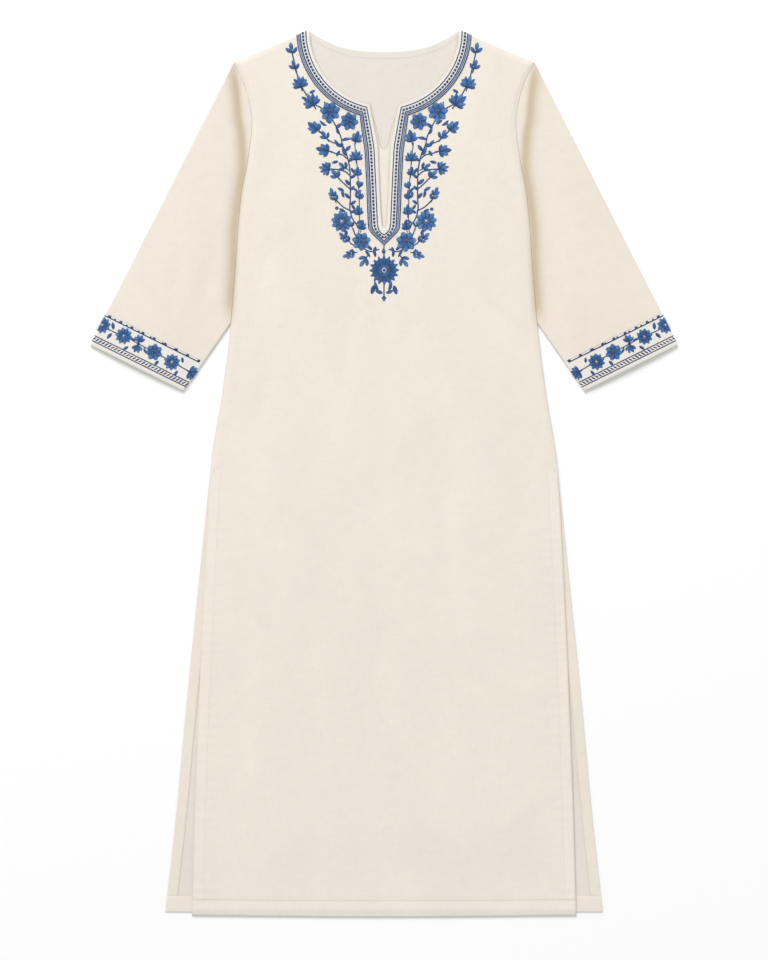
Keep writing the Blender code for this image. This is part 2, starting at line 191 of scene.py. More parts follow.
def neck_arc(radius, degrees):
    angle = np.radians(degrees)
    return radius * np.cos(angle), HALF_LENGTH - radius * np.sin(angle)


CORNER_DEGREES = math.degrees(math.acos(0.0196 / NECK_RADIUS))


def front_neck():
    """The front panel's upper edge from the middle out, as x and y."""
    arc_x, arc_y = neck_arc(NECK_RADIUS, np.linspace(CORNER_DEGREES, 2, 21))
    x = [0.0, 0.0014, 0.0026, 0.0043, 0.0058, 0.0068, 0.0077, 0.0084, 0.0140]
    y = [SLIT_END_Y, 0.3472, 0.3498, 0.376, 0.402, 0.428, 0.453, 0.462, 0.490]
    shoulder = np.linspace(NECK_RADIUS + NECK_STEP, 0.195, 17)
    edge = np.linspace(0.195, SHOULDER_TIP[0], 11)[1:]
    outer = np.concatenate([shoulder, edge])
    return np.concatenate([x, arc_x, outer]), np.concatenate([y, arc_y, shoulder_y(outer) - SEAM])


def back_neck():
    x = np.linspace(0, NECK_RADIUS, 25)
    outer = np.linspace(NECK_RADIUS + NECK_STEP, SHOULDER_TIP[0], 21)
    return np.concatenate([x, outer]), np.concatenate([back_neck_y(x), shoulder_y(outer) - SEAM])


# ---- creases ----

# Soft folds of the front, each along a bent line of three points. A trough's rise is below
# zero. Widths and rises are in millimetres, points in metres.
Fold = namedtuple("Fold", "points width rise")
FRONT_FOLDS = (
    Fold(((-0.043, 0.262), (-0.050, 0.180), (-0.057, 0.104)), 9, -1.1),
    Fold(((-0.164, 0.318), (-0.180, 0.256), (-0.198, 0.197)), 10, -1.2),
    Fold(((0.130, 0.262), (0.160, 0.215), (0.199, 0.174)), 12, -1.7),
    Fold(((0.069, 0.066), (0.082, -0.046), (0.108, -0.250)), 13, -1.1),
    Fold(((0.108, -0.250), (0.124, -0.287), (0.152, -0.309)), 13, -0.8),
    Fold(((0.160, -0.296), (0.195, -0.306), (0.232, -0.298)), 15, 0.55),
    Fold(((0.143, 0.068), (0.156, 0.010), (0.168, -0.037)), 9, -0.9),
    Fold(((0.197, 0.066), (0.214, 0.016), (0.232, -0.026)), 10, -1.1),
    Fold(((-0.166, 0.142), (-0.169, 0.097), (-0.171, 0.058)), 12, -0.8),
    Fold(((-0.230, -0.254), (-0.224, -0.281), (-0.216, -0.303)), 8, -0.9),
    Fold(((-0.230, -0.425), (-0.212, -0.470), (-0.184, -0.535)), 12, -1.2),
    Fold(((-0.171, -0.200), (-0.168, -0.320), (-0.160, -0.420)), 20, 0.7),
    Fold(((-0.202, -0.270), (-0.196, -0.330), (-0.190, -0.395)), 11, -0.7),
    Fold(((0.000, -0.205), (-0.003, -0.245), (0.002, -0.280)), 10, -0.6),
    Fold(((-0.015, -0.500), (-0.006, -0.545), (0.000, -0.575)), 26, -0.4),
    Fold(((0.238, -0.550), (0.205, -0.570), (0.180, -0.594)), 13, -0.5),
    Fold(((0.170, -0.494), (0.196, -0.466), (0.226, -0.438)), 13, 0.9),
    Fold(((-0.098, 0.254), (-0.094, 0.225), (-0.090, 0.197)), 9, -0.6),
    Fold(((0.034, 0.220), (0.034, 0.190), (0.033, 0.168)), 9, -0.7),
    Fold(((-0.120, 0.070), (-0.112, 0.000), (-0.118, -0.080)), 20, -0.6),
    Fold(((0.030, 0.090), (0.022, 0.020), (0.030, -0.050)), 18, 0.6),
    Fold(((-0.040, -0.080), (-0.034, -0.180), (-0.042, -0.300)), 22, 0.6),
    Fold(((0.060, -0.300), (0.066, -0.390), (0.060, -0.470)), 20, -0.5),
    Fold(((0.120, 0.390), (0.140, 0.345), (0.150, 0.290)), 24, 0.9),
    Fold(((-0.130, 0.420), (-0.140, 0.370), (-0.142, 0.330)), 24, 0.9),
    Fold(((0.128, 0.520), (0.134, 0.480), (0.150, 0.450)), 14, -0.6),
)
# Folds of a sleeve, on the wearer's left; the right sleeve has its own.
SLEEVE_FOLDS = {
    LEFT: (
        Fold(((0.298, 0.354), (0.315, 0.290), (0.322, 0.224)), 13, -0.9),
        Fold(((0.245, 0.300), (0.262, 0.240), (0.275, 0.190)), 13, 0.7),
        Fold(((0.262, 0.450), (0.284, 0.400), (0.298, 0.354)), 12, -0.5),
        Fold(((0.225, 0.300), (0.238, 0.260), (0.248, 0.215)), 8, -0.6),
    ),
    RIGHT: (
        Fold(((0.290, 0.355), (0.291, 0.290), (0.294, 0.225)), 12, -0.9),
        Fold(((0.335, 0.330), (0.345, 0.270), (0.350, 0.220)), 14, 0.6),
        Fold(((0.232, 0.330), (0.246, 0.270), (0.262, 0.220)), 11, -0.6),
        Fold(((0.245, 0.480), (0.262, 0.430), (0.276, 0.380)), 13, 0.5),
    ),
}

FOLD_DEPTH = 1.3                         # every fold's rise is taken this many times


def fold_relief(folds, x, y):
    """The height that the folds add, fading out towards the ends of each."""
    rise = np.zeros_like(x)
    for fold in folds:
        ends = np.array(fold.points)
        lengths = np.hypot(*np.diff(ends, axis=0).T)
        nearest = np.full_like(x, np.inf)
        along = np.zeros_like(x)
        done = 0.0
        for start, run, length in zip(ends, np.diff(ends, axis=0), lengths):
            share = np.clip(((x - start[0]) * run[0] + (y - start[1]) * run[1]) / length**2, 0, 1)
            away = np.hypot(x - start[0] - share * run[0], y - start[1] - share * run[1])
            along = np.where(away < nearest, (done + share * length) / lengths.sum(), along)
            nearest = np.minimum(nearest, away)
            done += length
        fade = 0.35 + 0.65 * np.sin(math.pi * along)
        rise += fold.rise * FOLD_DEPTH * MM * fade * bell(nearest, 0, fold.width * MM)
    return rise


PUCKER_PITCH = 13.0 * MM
PUCKER_RISE = 0.30 * MM


def puckers(y, inward):
    """Small ripples along a stitched slit edge, uneven in height."""
    uneven = 0.6 + 0.4 * np.sin(y * 31.0 + 0.7) * np.sin(y * 83.0)
    wave = np.sin(2 * math.pi * y / PUCKER_PITCH + 1.3 * np.sin(y * 47.0))
    return PUCKER_RISE * uneven * wave * bell(inward, 0.016, 0.012) * ease(-y, 0.0, 0.060)


# ---- heights of the lower face of each layer ----

EDGE_ROLL = 8.0 * MM
MOUND = 2.4 * MM
ARMHOLE_RISE = 0.5 * MM
GROOVE = 0.45 * MM
NECK_SINK = 0.95 * MM                    # the thin layers at the neck lie closer than elsewhere
PRESSED = 0.45 * MM                      # wall of a pressed strip lying on the back panel
LYING = CLOTH + 0.04 * MM                # its lower face
SKIRT_LEVEL = LYING + PRESSED + STRIP + GAP + 0.15 * MM
OVERHANG_LEVEL = STRIP + GAP + 0.05 * MM
BAND_WALL = 0.55 * MM
BAND_LIFT = 0.05 * MM


def front_level(x, y):
    across = np.abs(x)
    inward = side_x(y) - across
    above_hem = y + HALF_LENGTH
    below_shoulder = np.where(across > NECK_RADIUS, shoulder_y(across) - y, 1.0)
    on_slit_hem = (1 - ease(y, SIDE_SLIT_Y, SIDE_SLIT_Y + 0.080)) * (1 - ease(inward, 0.020, 0.070))
    on_bottom_hem = 1 - ease(above_hem, 0.028, 0.080)
    lowest = FRONT_LEVEL + np.maximum(on_slit_hem, on_bottom_hem) * (SKIRT_LEVEL - FRONT_LEVEL)
    by_slit = (1 - ease(across, 0.028, 0.070)) * ease(y, 0.250, 0.320)
    neck_free = ease(np.hypot(x, y - HALF_LENGTH), 0.125, 0.190) * (1 - by_slit)
    loose = ease(inward, 0.010, 0.090) * ease(above_hem, 0.030, 0.130) * ease(below_shoulder, 0, 0.08)
    free = ease(inward, 0.004, 0.030) * ease(above_hem, 0.022, 0.050) * neck_free
    level = lowest + MOUND * loose * (0.35 + 0.65 * neck_free)
    level = level + fold_relief(FRONT_FOLDS, x, y) * free
    # the turned edges show as a fine groove at their stitching, puckered along the slits
    in_skirt = y < SIDE_SLIT_Y
    level = level - GROOVE * bell(above_hem, BOTTOM_HEM + 0.5 * MM, 1.8 * MM)
    slit_line = GROOVE * bell(inward, SLIT_HEM, 1.6 * MM) * ease(above_hem, BOTTOM_HEM, 0.03)
    level = level - np.where(in_skirt, slit_line, 0.0) + np.where(in_skirt, puckers(y, inward), 0.0)
    level = np.maximum(level, lowest - 0.1 * MM) - NECK_SINK * (1 - neck_free)
    # past the back's hem the front's edge comes down to the surface
    level = level - (level - OVERHANG_LEVEL) * (1 - ease(above_hem, 0, 0.012))
    # armhole: the front stands up a little, then goes down into the seam
    at_armhole = ease(y, UNDERARM_Y - 0.030, UNDERARM_Y + 0.020)
    level = level + ARMHOLE_RISE * at_armhole * bell(inward, 0.016, 0.013)
    seam_down = np.where(y >= UNDERARM_Y, 1.0, ease(y, SIDE_SLIT_Y, 0.03))
    down = seam_down * (1 - ease(inward, 0, EDGE_ROLL))
    beyond_band = ease(across, NECK_RADIUS + 0.018, SHOULDER_TIP[0] - 0.050)
    down = np.maximum(down, beyond_band * (1 - ease(below_shoulder, 0, EDGE_ROLL)))
    return level + down * (SEAM_LEVEL - level)


def front_top(x, y):
    return front_level(x, y) + CLOTH


def band_top(x, y):
    return front_top(x, y) + BAND_LIFT + BAND_WALL


# ---- sleeve shape ----

def cuff_frame():
    """The cuff edge's outer corner, its direction to the inner corner, and the way up the sleeve."""
    outer, inner = np.array(CUFF_OUTER), np.array(CUFF_INNER)
    along = (inner - outer) / np.linalg.norm(inner - outer)
    return outer, along, np.array([along[1], -along[0]])


def up_from_cuff(share, depth):
    """A point of the line parallel to the cuff's edge, depth above it, from fold to underarm."""
    outer, _, up = cuff_frame()
    inner = np.array(CUFF_INNER)

    def climbed(corner, towards):
        """The point depth above the cuff's edge on the way from the corner."""
        run = np.array(towards) - corner
        way = run / run.dot(up)
        return corner[0] + way[0] * depth, corner[1] + way[1] * depth

    start = climbed(outer, SHOULDER_TIP)
    end = climbed(inner, (side_x(UNDERARM_Y), UNDERARM_Y))
    return tuple(start[i] + (end[i] - start[i]) * share for i in (0, 1))


def armhole(share):
    y = SHOULDER_TIP[1] + (UNDERARM_Y - SHOULDER_TIP[1]) * share
    return side_x(y) + 0.12 * MM, y


TOUCH = 0.02 * MM
SLEEVE_CROWN = 2.2 * MM
ARMHOLE_DIP = 1.5 * MM


def sleeve_rise(x, y, share, side):
    """What the upper layer of a sleeve stands above its folds."""
    from_armhole = np.abs(x) - side_x(y)
    roundness = np.sin(math.pi * np.clip(share, 0, 1)) ** 0.7
    crown = SLEEVE_CROWN * ease(from_armhole, 0, 0.080) * roundness
    folds = fold_relief(SLEEVE_FOLDS[side], np.abs(x), y) * roundness
    dip = ARMHOLE_DIP * (1 - ease(from_armhole, 0.002, 0.026)) * ease(y, UNDERARM_Y - 0.01, UNDERARM_Y + 0.03)
    return np.maximum(crown + folds, -0.6 * MM) - dip * np.minimum(1, roundness * 3)


# ---- mesh helpers ----

def new_object(name, mesh, shown=True):
    made = bpy.data.objects.new(name, mesh)
    if shown:
        garment = bpy.data.collections.get("Kurta")
        if garment is None:
            garment = bpy.data.collections.new("Kurta")
            bpy.context.scene.collection.children.link(garment)
        garment.objects.link(made)
    return made


def points_of(mesh):
    """The mesh's points, as arrays of x, y and z."""
    points = np.empty(len(mesh.vertices) * 3, np.float32)
    mesh.vertices.foreach_get("co", points)
    return points.reshape(-1, 3).T


def move_points(mesh, x, y, z):
    mesh.vertices.foreach_set("co", np.stack([x, y, z], 1).astype(np.float32).ravel())
    mesh.update()


def placed_grid(name, across, along, place):
    """A grid primitive whose points are placed by place(u, v), both from 0 to 1."""
    made = bmesh.new()
    bmesh.ops.create_grid(made, x_segments=across, y_segments=along, size=1.0)
    mesh = bpy.data.meshes.new(name)
    made.to_mesh(mesh)
    made.free()
    x, y, _ = points_of(mesh)
    u = np.round((x + 1) / 2 * across) / across
    v = np.round((y + 1) / 2 * along) / along
    move_points(mesh, *place(u, v))
    return mesh


def faced_up(mesh, weld=0.0):
    """Turns an open sheet's faces to +Z; weld first closes a tube along its seam."""
    made = bmesh.new()
    made.from_mesh(mesh)
    if weld:
        bmesh.ops.remove_doubles(made, verts=made.verts[:], dist=weld)
        wrong = max(made.faces, key=lambda face: face.calc_center_median().z).normal.z < 0
    else:
        wrong = sum(face.normal.z * face.calc_area() for face in made.faces) < 0
    if wrong:
        bmesh.ops.reverse_faces(made, faces=made.faces[:])
    made.to_mesh(mesh)
    made.free()
    return mesh


def area_of(mesh):
    areas = np.empty(len(mesh.polygons), np.float32)
    mesh.polygons.foreach_get("area", areas)
    return float(areas.sum())


Cut = namedtuple("Cut", "flat area")      # the cut's rectangle, and its own area


def cloth_piece(
    name, node, slot, material, mesh, wall, cut, rests_on=("back_cloth",), sewn=(), shade=None, upwards=True
):
    """A sheet with its wall, lying where it rests. shade(x, y) paints it lighter or darker, mostly with
    painted shade.
    """
    if shade:
        x, y, _ = points_of(mesh).astype(float)
        values = shade(x, y).astype(np.float32)
        mesh.attributes.new("shade", "FLOAT", "POINT").data.foreach_set("value", values)
    mesh.shade_smooth()
    mesh.materials.append(material)
    piece = new_object(name, mesh)
    shell = piece.modifiers.new("Wall", "SOLIDIFY")
    shell.thickness = wall
    shell.offset = 1.0 if upwards else -1.0
    even = piece.modifiers.new("Edge normals", "WEIGHTED_NORMAL")
    even.weight = 90
    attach(piece, "root")
    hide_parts(node)
    area = min(cut.area, cut.flat[0] * cut.flat[1])
    return piece


# ---- shades: where the cotton is paler (turned hems) or darker (painted shade) ----

# Painted shade in the soft crease beside each armhole: from the shoulder's tip it hangs straight
# down over the sleeve's cap, then follows the seam to the underarm.
CreaseRow = namedtuple("CreaseRow", "y x")
ARMHOLE_CREASE = (
    CreaseRow(0.2110, 0.2142),
    CreaseRow(0.2400, 0.2130),
    CreaseRow(0.2828, 0.2103),
    CreaseRow(0.3346, 0.2088),
    CreaseRow(0.3976, 0.2016),
    CreaseRow(0.4326, 0.1965),
    CreaseRow(0.4746, 0.1985),
    CreaseRow(0.4956, 0.2025),
    CreaseRow(0.5270, 0.2050),
    CreaseRow(0.5754, 0.2125),
)
CREASE_SHADE = 0.26


def armhole_crease(x, y):
    """Where the painted shade of the crease beside an armhole goes: 1 in its middle, fading slowly
    outwards and fast inwards.
    """
    middle = smooth_through([row.y for row in ARMHOLE_CREASE], [row.x for row in ARMHOLE_CREASE], y)
    away = np.abs(x) - middle
    ends = ease(y, UNDERARM_Y - 0.010, UNDERARM_Y + 0.030) * (1 - 0.5 * ease(y, 0.550, SHOULDER_TIP[1]))
    return bell(away, 0, np.where(away > 0, 10.0, 5.5) * MM) * ends


def front_shade(x, y):
    """Turned edges are a second layer, and read paler. Painted shade darkens the groove of the hem's
    stitching, the front's edge where it turns down to the side seam, the slits' free edges and the
    crease beside the armhole.
    """
    inward = side_x(y) - np.abs(x)
    above_hem = y + HALF_LENGTH
    in_skirt = y < SIDE_SLIT_Y
    paler = 0.018 * (above_hem < BOTTOM_HEM) + 0.012 * (inward < SLIT_HEM) * in_skirt
    # painted shade: along the hem's stitched groove, at the side seam and at the slits' free edges
    line = 0.022 * bell(above_hem, BOTTOM_HEM + 1.5 * MM, 2.0 * MM)
    side = 0.030 * (1 - ease(inward, 0, 0.006)) * (y < UNDERARM_Y) * ~in_skirt
    edge = 0.070 * (1 - ease(inward, 0, 0.003)) * in_skirt
    return np.minimum(paler, 0.018) - line - side - edge - CREASE_SHADE * armhole_crease(x, y)


def slit_hem_shade(panel):
    """A turned edge is a little warmer than the panel, with painted shade along its inner edge."""
    def shade(x, y):
        inward = side_x(y, panel) - np.abs(x)
        return -0.015 - 0.085 * ease(inward, SLIT_HEM - 2.6 * MM, SLIT_HEM)

    return shade


# Painted shade: the sleeves and cuffs are a little darker all over, and darker in the crease beside the
# armhole.
def sleeve_shade(x, y):
    return -0.018 - CREASE_SHADE * armhole_crease(x, y)


def edge_shade(line, dark, plain=0.0):
    """Painted shade along a free edge: darker within 2 mm of its bent line, on both sides of the middle."""
    def shade(x, y):
        away = np.hypot(np.abs(x)[:, None] - line[:, 0], y[:, None] - line[:, 1]).min(axis=1)
        return plain - dark * (1 - ease(away, 0, 2.0 * MM))

    return shade


# ---- materials ----

class Tree:
    """Short ways to add nodes to a tree and join them."""

    def __init__(self, tree):
        self.tree = tree

    def add(self, kind, **settings):
        node = self.tree.nodes.new(kind)
        for key, value in settings.items():
            setattr(node, key, value)
        return node

    def link(self, source, target):
        self.tree.links.new(source, target)

    def math(self, operation, first, second=0.0):
        node = self.add("ShaderNodeMath", operation=operation)
        for socket, value in zip(node.inputs, (first, second)):
            if isinstance(value, (int, float)):
                socket.default_value = value
            else:
                self.link(value, socket)
        return node.outputs[0]

    def noise(self, vector, scale, detail=2.0, roughness=0.5):
        node = self.add("ShaderNodeTexNoise")
        node.inputs["Scale"].default_value = scale
        node.inputs["Detail"].default_value = detail
        node.inputs["Roughness"].default_value = roughness
        self.link(vector, node.inputs["Vector"])
        return node.outputs["Fac"]

    def stretched(self, vector, scale):
        node = self.add("ShaderNodeVectorMath", operation="MULTIPLY")
        node.inputs[1].default_value = scale
        self.link(vector, node.inputs[0])
        return node.outputs[0]

    def total(self, first, *others):
        for other in others:
            first = self.math("ADD", first, other)
        return first

    def around(self, value, amount, middle=0.5):
        """The value less its middle, times the amount."""
        return self.math("MULTIPLY", self.math("SUBTRACT", value, middle), amount)

    def bump(self, height, strength, distance, shader):
        node = self.add("ShaderNodeBump")
        node.inputs["Strength"].default_value = strength
        node.inputs["Distance"].default_value = distance
        self.link(height, node.inputs["Height"])
        self.link(node.outputs[0], shader.inputs["Normal"])


def new_group(name, kind, inputs, outputs):
    """A node group with its sockets: its tree, and the nodes for what comes in and goes out."""
    group = bpy.data.node_groups.new(name, kind)
    for label, socket_type, default in inputs:
        socket = group.interface.new_socket(label, in_out="INPUT", socket_type=socket_type)
        if default is not None:
            socket.default_value = default
    for label, socket_type in outputs:
        group.interface.new_socket(label, in_out="OUTPUT", socket_type=socket_type)
    return Tree(group), group.nodes.new("NodeGroupInput"), group.nodes.new("NodeGroupOutput")


def new_material(name, roughness, specular, sheen):
    """A material, its tree and its shader."""
    made = bpy.data.materials.new(name)
    made.use_nodes = True
    shader = made.node_tree.nodes["Principled BSDF"]
    shader.inputs["Roughness"].default_value = roughness
    shader.inputs["Specular IOR Level"].default_value = specular
    shader.inputs["Sheen Weight"].default_value = sheen
    return made, Tree(made.node_tree), shader


def weave_group():
    """Plain weave with slubs: a height, and a tint that runs along the threads."""
    found = bpy.data.node_groups.get("Cotton weave")
    if found:
        return found
    tree, inside, outside = new_group(
        "Cotton weave",
        "ShaderNodeTree",
        [
            ("Vector", "NodeSocketVector", None),
            ("Threads per metre", "NodeSocketFloat", 2200.0),
            ("Slub", "NodeSocketFloat", 0.5),
        ],
        [("Height", "NodeSocketFloat"), ("Tint", "NodeSocketFloat")],
    )
    split = tree.add("ShaderNodeSeparateXYZ")
    tree.link(inside.outputs["Vector"], split.inputs[0])
    phase = tree.math("MULTIPLY", inside.outputs["Threads per metre"], math.pi)
    warp = tree.math("SINE", tree.math("MULTIPLY", split.outputs["X"], phase))
    weft = tree.math("SINE", tree.math("MULTIPLY", split.outputs["Y"], phase))
    over_under = tree.math("MULTIPLY", warp, weft)
    long_slubs = tree.noise(tree.stretched(inside.outputs["Vector"], (900.0, 45.0, 0.0)), 1.0)
    cross_slubs = tree.noise(tree.stretched(inside.outputs["Vector"], (45.0, 900.0, 0.0)), 1.0)
    slubs = tree.around(tree.total(long_slubs, cross_slubs), inside.outputs["Slub"], 1.0)
    height = tree.total(tree.math("MULTIPLY", over_under, 0.5), tree.math("MULTIPLY", slubs, 2.0))
    tree.link(height, outside.inputs["Height"])
    tree.link(slubs, outside.inputs["Tint"])
    return tree.tree


def cotton(name, colour, slub=0.5, wrinkle=1.0):
    """Matt plain-woven cotton, faintly uneven in colour and surface."""
    found = bpy.data.materials.get(name)
    if found:
        return found
    made, tree, shader = new_material(name, 0.88, 0.25, 0.12)
    where = tree.add("ShaderNodeTexCoord").outputs["Object"]
    weave = tree.add("ShaderNodeGroup", node_tree=weave_group())
    weave.inputs["Slub"].default_value = slub
    tree.link(where, weave.inputs["Vector"])
    cloud = tree.noise(tree.stretched(where, (1.0, 0.45, 1.0)), 14.0, detail=3.0)
    mottle = tree.noise(where, 60.0, detail=4.0, roughness=0.65)
    tint = tree.math("MULTIPLY", weave.outputs["Tint"], 0.16)
    tone = tree.total(tree.around(cloud, 0.08), tree.around(mottle, 0.05), tint, 1.0)
    # the shade attribute: painted shade, and the paler turned hems
    shade = tree.add("ShaderNodeAttribute", attribute_name="shade").outputs["Fac"]
    coloured = tree.add("ShaderNodeVectorMath", operation="SCALE")
    coloured.inputs[0].default_value = colour
    tree.link(tone, coloured.inputs["Scale"])
    # the painted shade gets a warm cast: light that comes through two layers is warm, so the
    # darker places keep more red than blue
    warmth = tree.add("ShaderNodeVectorMath", operation="MULTIPLY_ADD")
    warmth.inputs[1].default_value = (1.0, 1.3, 1.75)
    warmth.inputs[2].default_value = (1.0, 1.0, 1.0)
    tree.link(shade, warmth.inputs[0])
    both = tree.add("ShaderNodeVectorMath", operation="MULTIPLY")
    tree.link(coloured.outputs[0], both.inputs[0])
    tree.link(warmth.outputs[0], both.inputs[1])
    tree.link(both.outputs[0], shader.inputs["Base Color"])
    soft = tree.noise(where, 55.0, detail=3.0, roughness=0.55)
    threads = tree.math("MULTIPLY", weave.outputs["Height"], 0.16)
    tree.bump(tree.total(tree.math("MULTIPLY", soft, 0.9 * wrinkle), threads), 0.55, 1.0 * MM, shader)
    return made


# ---- pieces ----

def panel_place(neck, rows, panel, hem_y, bow, level):
    """How many columns a whole panel's grid has, and what places its points. A column keeps its
    share of the half width, and a row ends at the side."""
    top_x, top_y = neck
    shares = np.concatenate([-top_x[:0:-1], top_x]) / SHOULDER_TIP[0]
    tops = np.concatenate([top_y[:0:-1], top_y])
    columns = np.linspace(0, 1, len(shares))

    def place(u, v):
        share = np.interp(u, columns, shares)
        top = np.interp(u, columns, tops)
        y_side = np.interp(v, np.linspace(0, 1, len(rows)), rows)
        run = (y_side - hem_y) / (SHOULDER_TIP[1] - hem_y)
        y = y_side + (top - SHOULDER_TIP[1]) * run - bow * (1 - share**2) * (1 - run)
        x = share * SHOULDER_TIP[0] + share**3 * (side_x(y_side, panel) - SEAM - SHOULDER_TIP[0])
        return x, y, level(x, y)

    return len(shares) - 1, place


def back_level(x, y):
    return np.zeros_like(x)


def make_back(material):
    rows = np.linspace(BACK_HEM_Y, SHOULDER_TIP[1], 181)
    across, place = panel_place(back_neck(), rows, "back", BACK_HEM_Y, 0.0, back_level)
    mesh = faced_up(placed_grid("back_cloth", across, len(rows) - 1, place))
    cut = Cut((2 * side_x(BACK_HEM_Y, "back"), HALF_LENGTH - BACK_HEM_Y), area_of(mesh))
    cloth_piece("back_cloth", "back_panel", "cotton_inside", material, mesh, CLOTH, cut, ["floor"])


def front_rows():
    hem = -HALF_LENGTH + HEM_BOW
    low = np.linspace(hem, hem + 0.030, 14)[:-1]
    middle = np.linspace(hem + 0.030, SHOULDER_TIP[1] - 0.010, 310)[:-1]
    high = np.linspace(SHOULDER_TIP[1] - 0.010, SHOULDER_TIP[1], 7)
    return np.concatenate([low, middle, high])


def make_front(material):
    rows = front_rows()
    across, place = panel_place(front_neck(), rows, "front", rows[0], HEM_BOW, front_level)
    mesh = faced_up(placed_grid("front_cloth", across, len(rows) - 1, place))
    cut = Cut((2 * side_x(-HALF_LENGTH), 2 * HALF_LENGTH), area_of(mesh))
    cloth_piece(
        "front_cloth", "front_panel", "cotton", material, mesh, CLOTH, cut,
        sewn=["yoke_embroidery", "hem_stitches"], shade=front_shade,
    )


def make_strip(name, node, slot, material, first, second, level, wall, steps, **more):
    """A strip between two edges, each given as arrays of x and y of the same length."""
    along = len(first[0]) - 1

    def place(u, v):
        ends = [np.interp(v, np.linspace(0, 1, along + 1), values) for values in (*first, *second)]
        x = ends[0] + (ends[2] - ends[0]) * u
        y = ends[1] + (ends[3] - ends[1]) * u
        return x, y, level(x, y)

    mesh = faced_up(placed_grid(name, steps, along, place))
    area = area_of(mesh)
    width = area / np.hypot(np.diff(first[0]), np.diff(first[1])).sum()
    cut = Cut((max(width, 10 * MM), area / width), area)
    cloth_piece(name, node, slot, material, mesh, wall, cut, **more)


def both_halves(x, y):
    """A half edge, from the middle out, joined to its mirror image."""
    x, y = np.asarray(x, float), np.asarray(y, float)
    return np.concatenate([-x[:0:-1], x]), np.concatenate([y[:0:-1], y])


def on_back(x, y):
    return np.full_like(x, LYING)


def make_facing(material):
    x = np.linspace(0, NECK_RADIUS - 1.0 * MM, 61)
    y = back_neck_y(x) - 0.4 * MM
    make_strip(
        "neck_facing_cloth", "back_neck_facing", "cotton_inside", material,
        both_halves(x, y), both_halves(x * 0.985, y - FACING), on_back, 0.15 * MM, 6,
    )


def make_placket(material):
    """The strip behind the slit, with the dip in its upper edge."""
    rows = np.array(INSERT)
    lengths = np.hypot(*np.diff((rows[:, 0:2] + rows[:, 2:4]) / 2, axis=0).T)
    along = np.concatenate([[0], np.cumsum(lengths)]) / lengths.sum()

    def place(u, v):
        dip_x, dip_y, outer_x, outer_y = (np.interp(v, along, column) for column in rows.T)
        x, y = dip_x + (outer_x - dip_x) * u, dip_y + (outer_y - dip_y) * u
        return x, y, on_back(x, y)

    mesh = faced_up(placed_grid("placket_cloth", 20, 100, place))
    cut = Cut((2 * rows[:, 2].max(), np.ptp(rows[:, 1])), 2 * area_of(mesh))
    dip = refined(rows[2:, 0:2], 0.5 * MM)
    piece = cloth_piece(
        "placket_cloth", "placket_insert", "cotton", material, mesh, PRESSED, cut,
        # painted shade along the dip's edge
        shade=edge_shade(dip, 0.28, 0.01),
    )
    halves = piece.modifiers.new("Other half", "MIRROR")
    halves.merge_threshold = 0.01 * MM
    piece.modifiers.move(len(piece.modifiers) - 1, 0)


def under_front(x, y):
    return np.minimum(front_level(x, y), SKIRT_LEVEL + 0.6 * MM) - GAP - STRIP


Hem = namedtuple("Hem", "panel end bow level wall")


def make_hems(material):
    for hem in (
        Hem("front", -HALF_LENGTH, HEM_BOW, under_front, STRIP),
        Hem("back", BACK_HEM_Y, 0.0, on_back, PRESSED),
    ):
        share = np.linspace(0, 1, 61)
        x = share * (side_x(hem.end, hem.panel) - SEAM)
        y = hem.end + hem.bow * share**2 + SEAM
        upper_x = share * (side_x(hem.end + BOTTOM_HEM, hem.panel) - SEAM)
        make_strip(
            f"{hem.panel}_hem_cloth", f"{hem.panel}_hem", "cotton", material, both_halves(x, y),
            both_halves(upper_x, y + BOTTOM_HEM), hem.level, hem.wall, 4,
        )
        y = np.linspace(hem.end + BOTTOM_HEM + hem.bow + SEAM + TOUCH, SIDE_SLIT_Y, 161)
        x = side_x(y, hem.panel) - SEAM
        for side in (LEFT, RIGHT):
            make_strip(
                f"{hem.panel}_slit_hem_cloth_{WORDS[side]}", f"slit_hem_{hem.panel}_{WORDS[side]}",
                "cotton", material, (side * x, y), (side * (x - SLIT_HEM), y), hem.level, hem.wall, 12,
                shade=slit_hem_shade(hem.panel),
            )


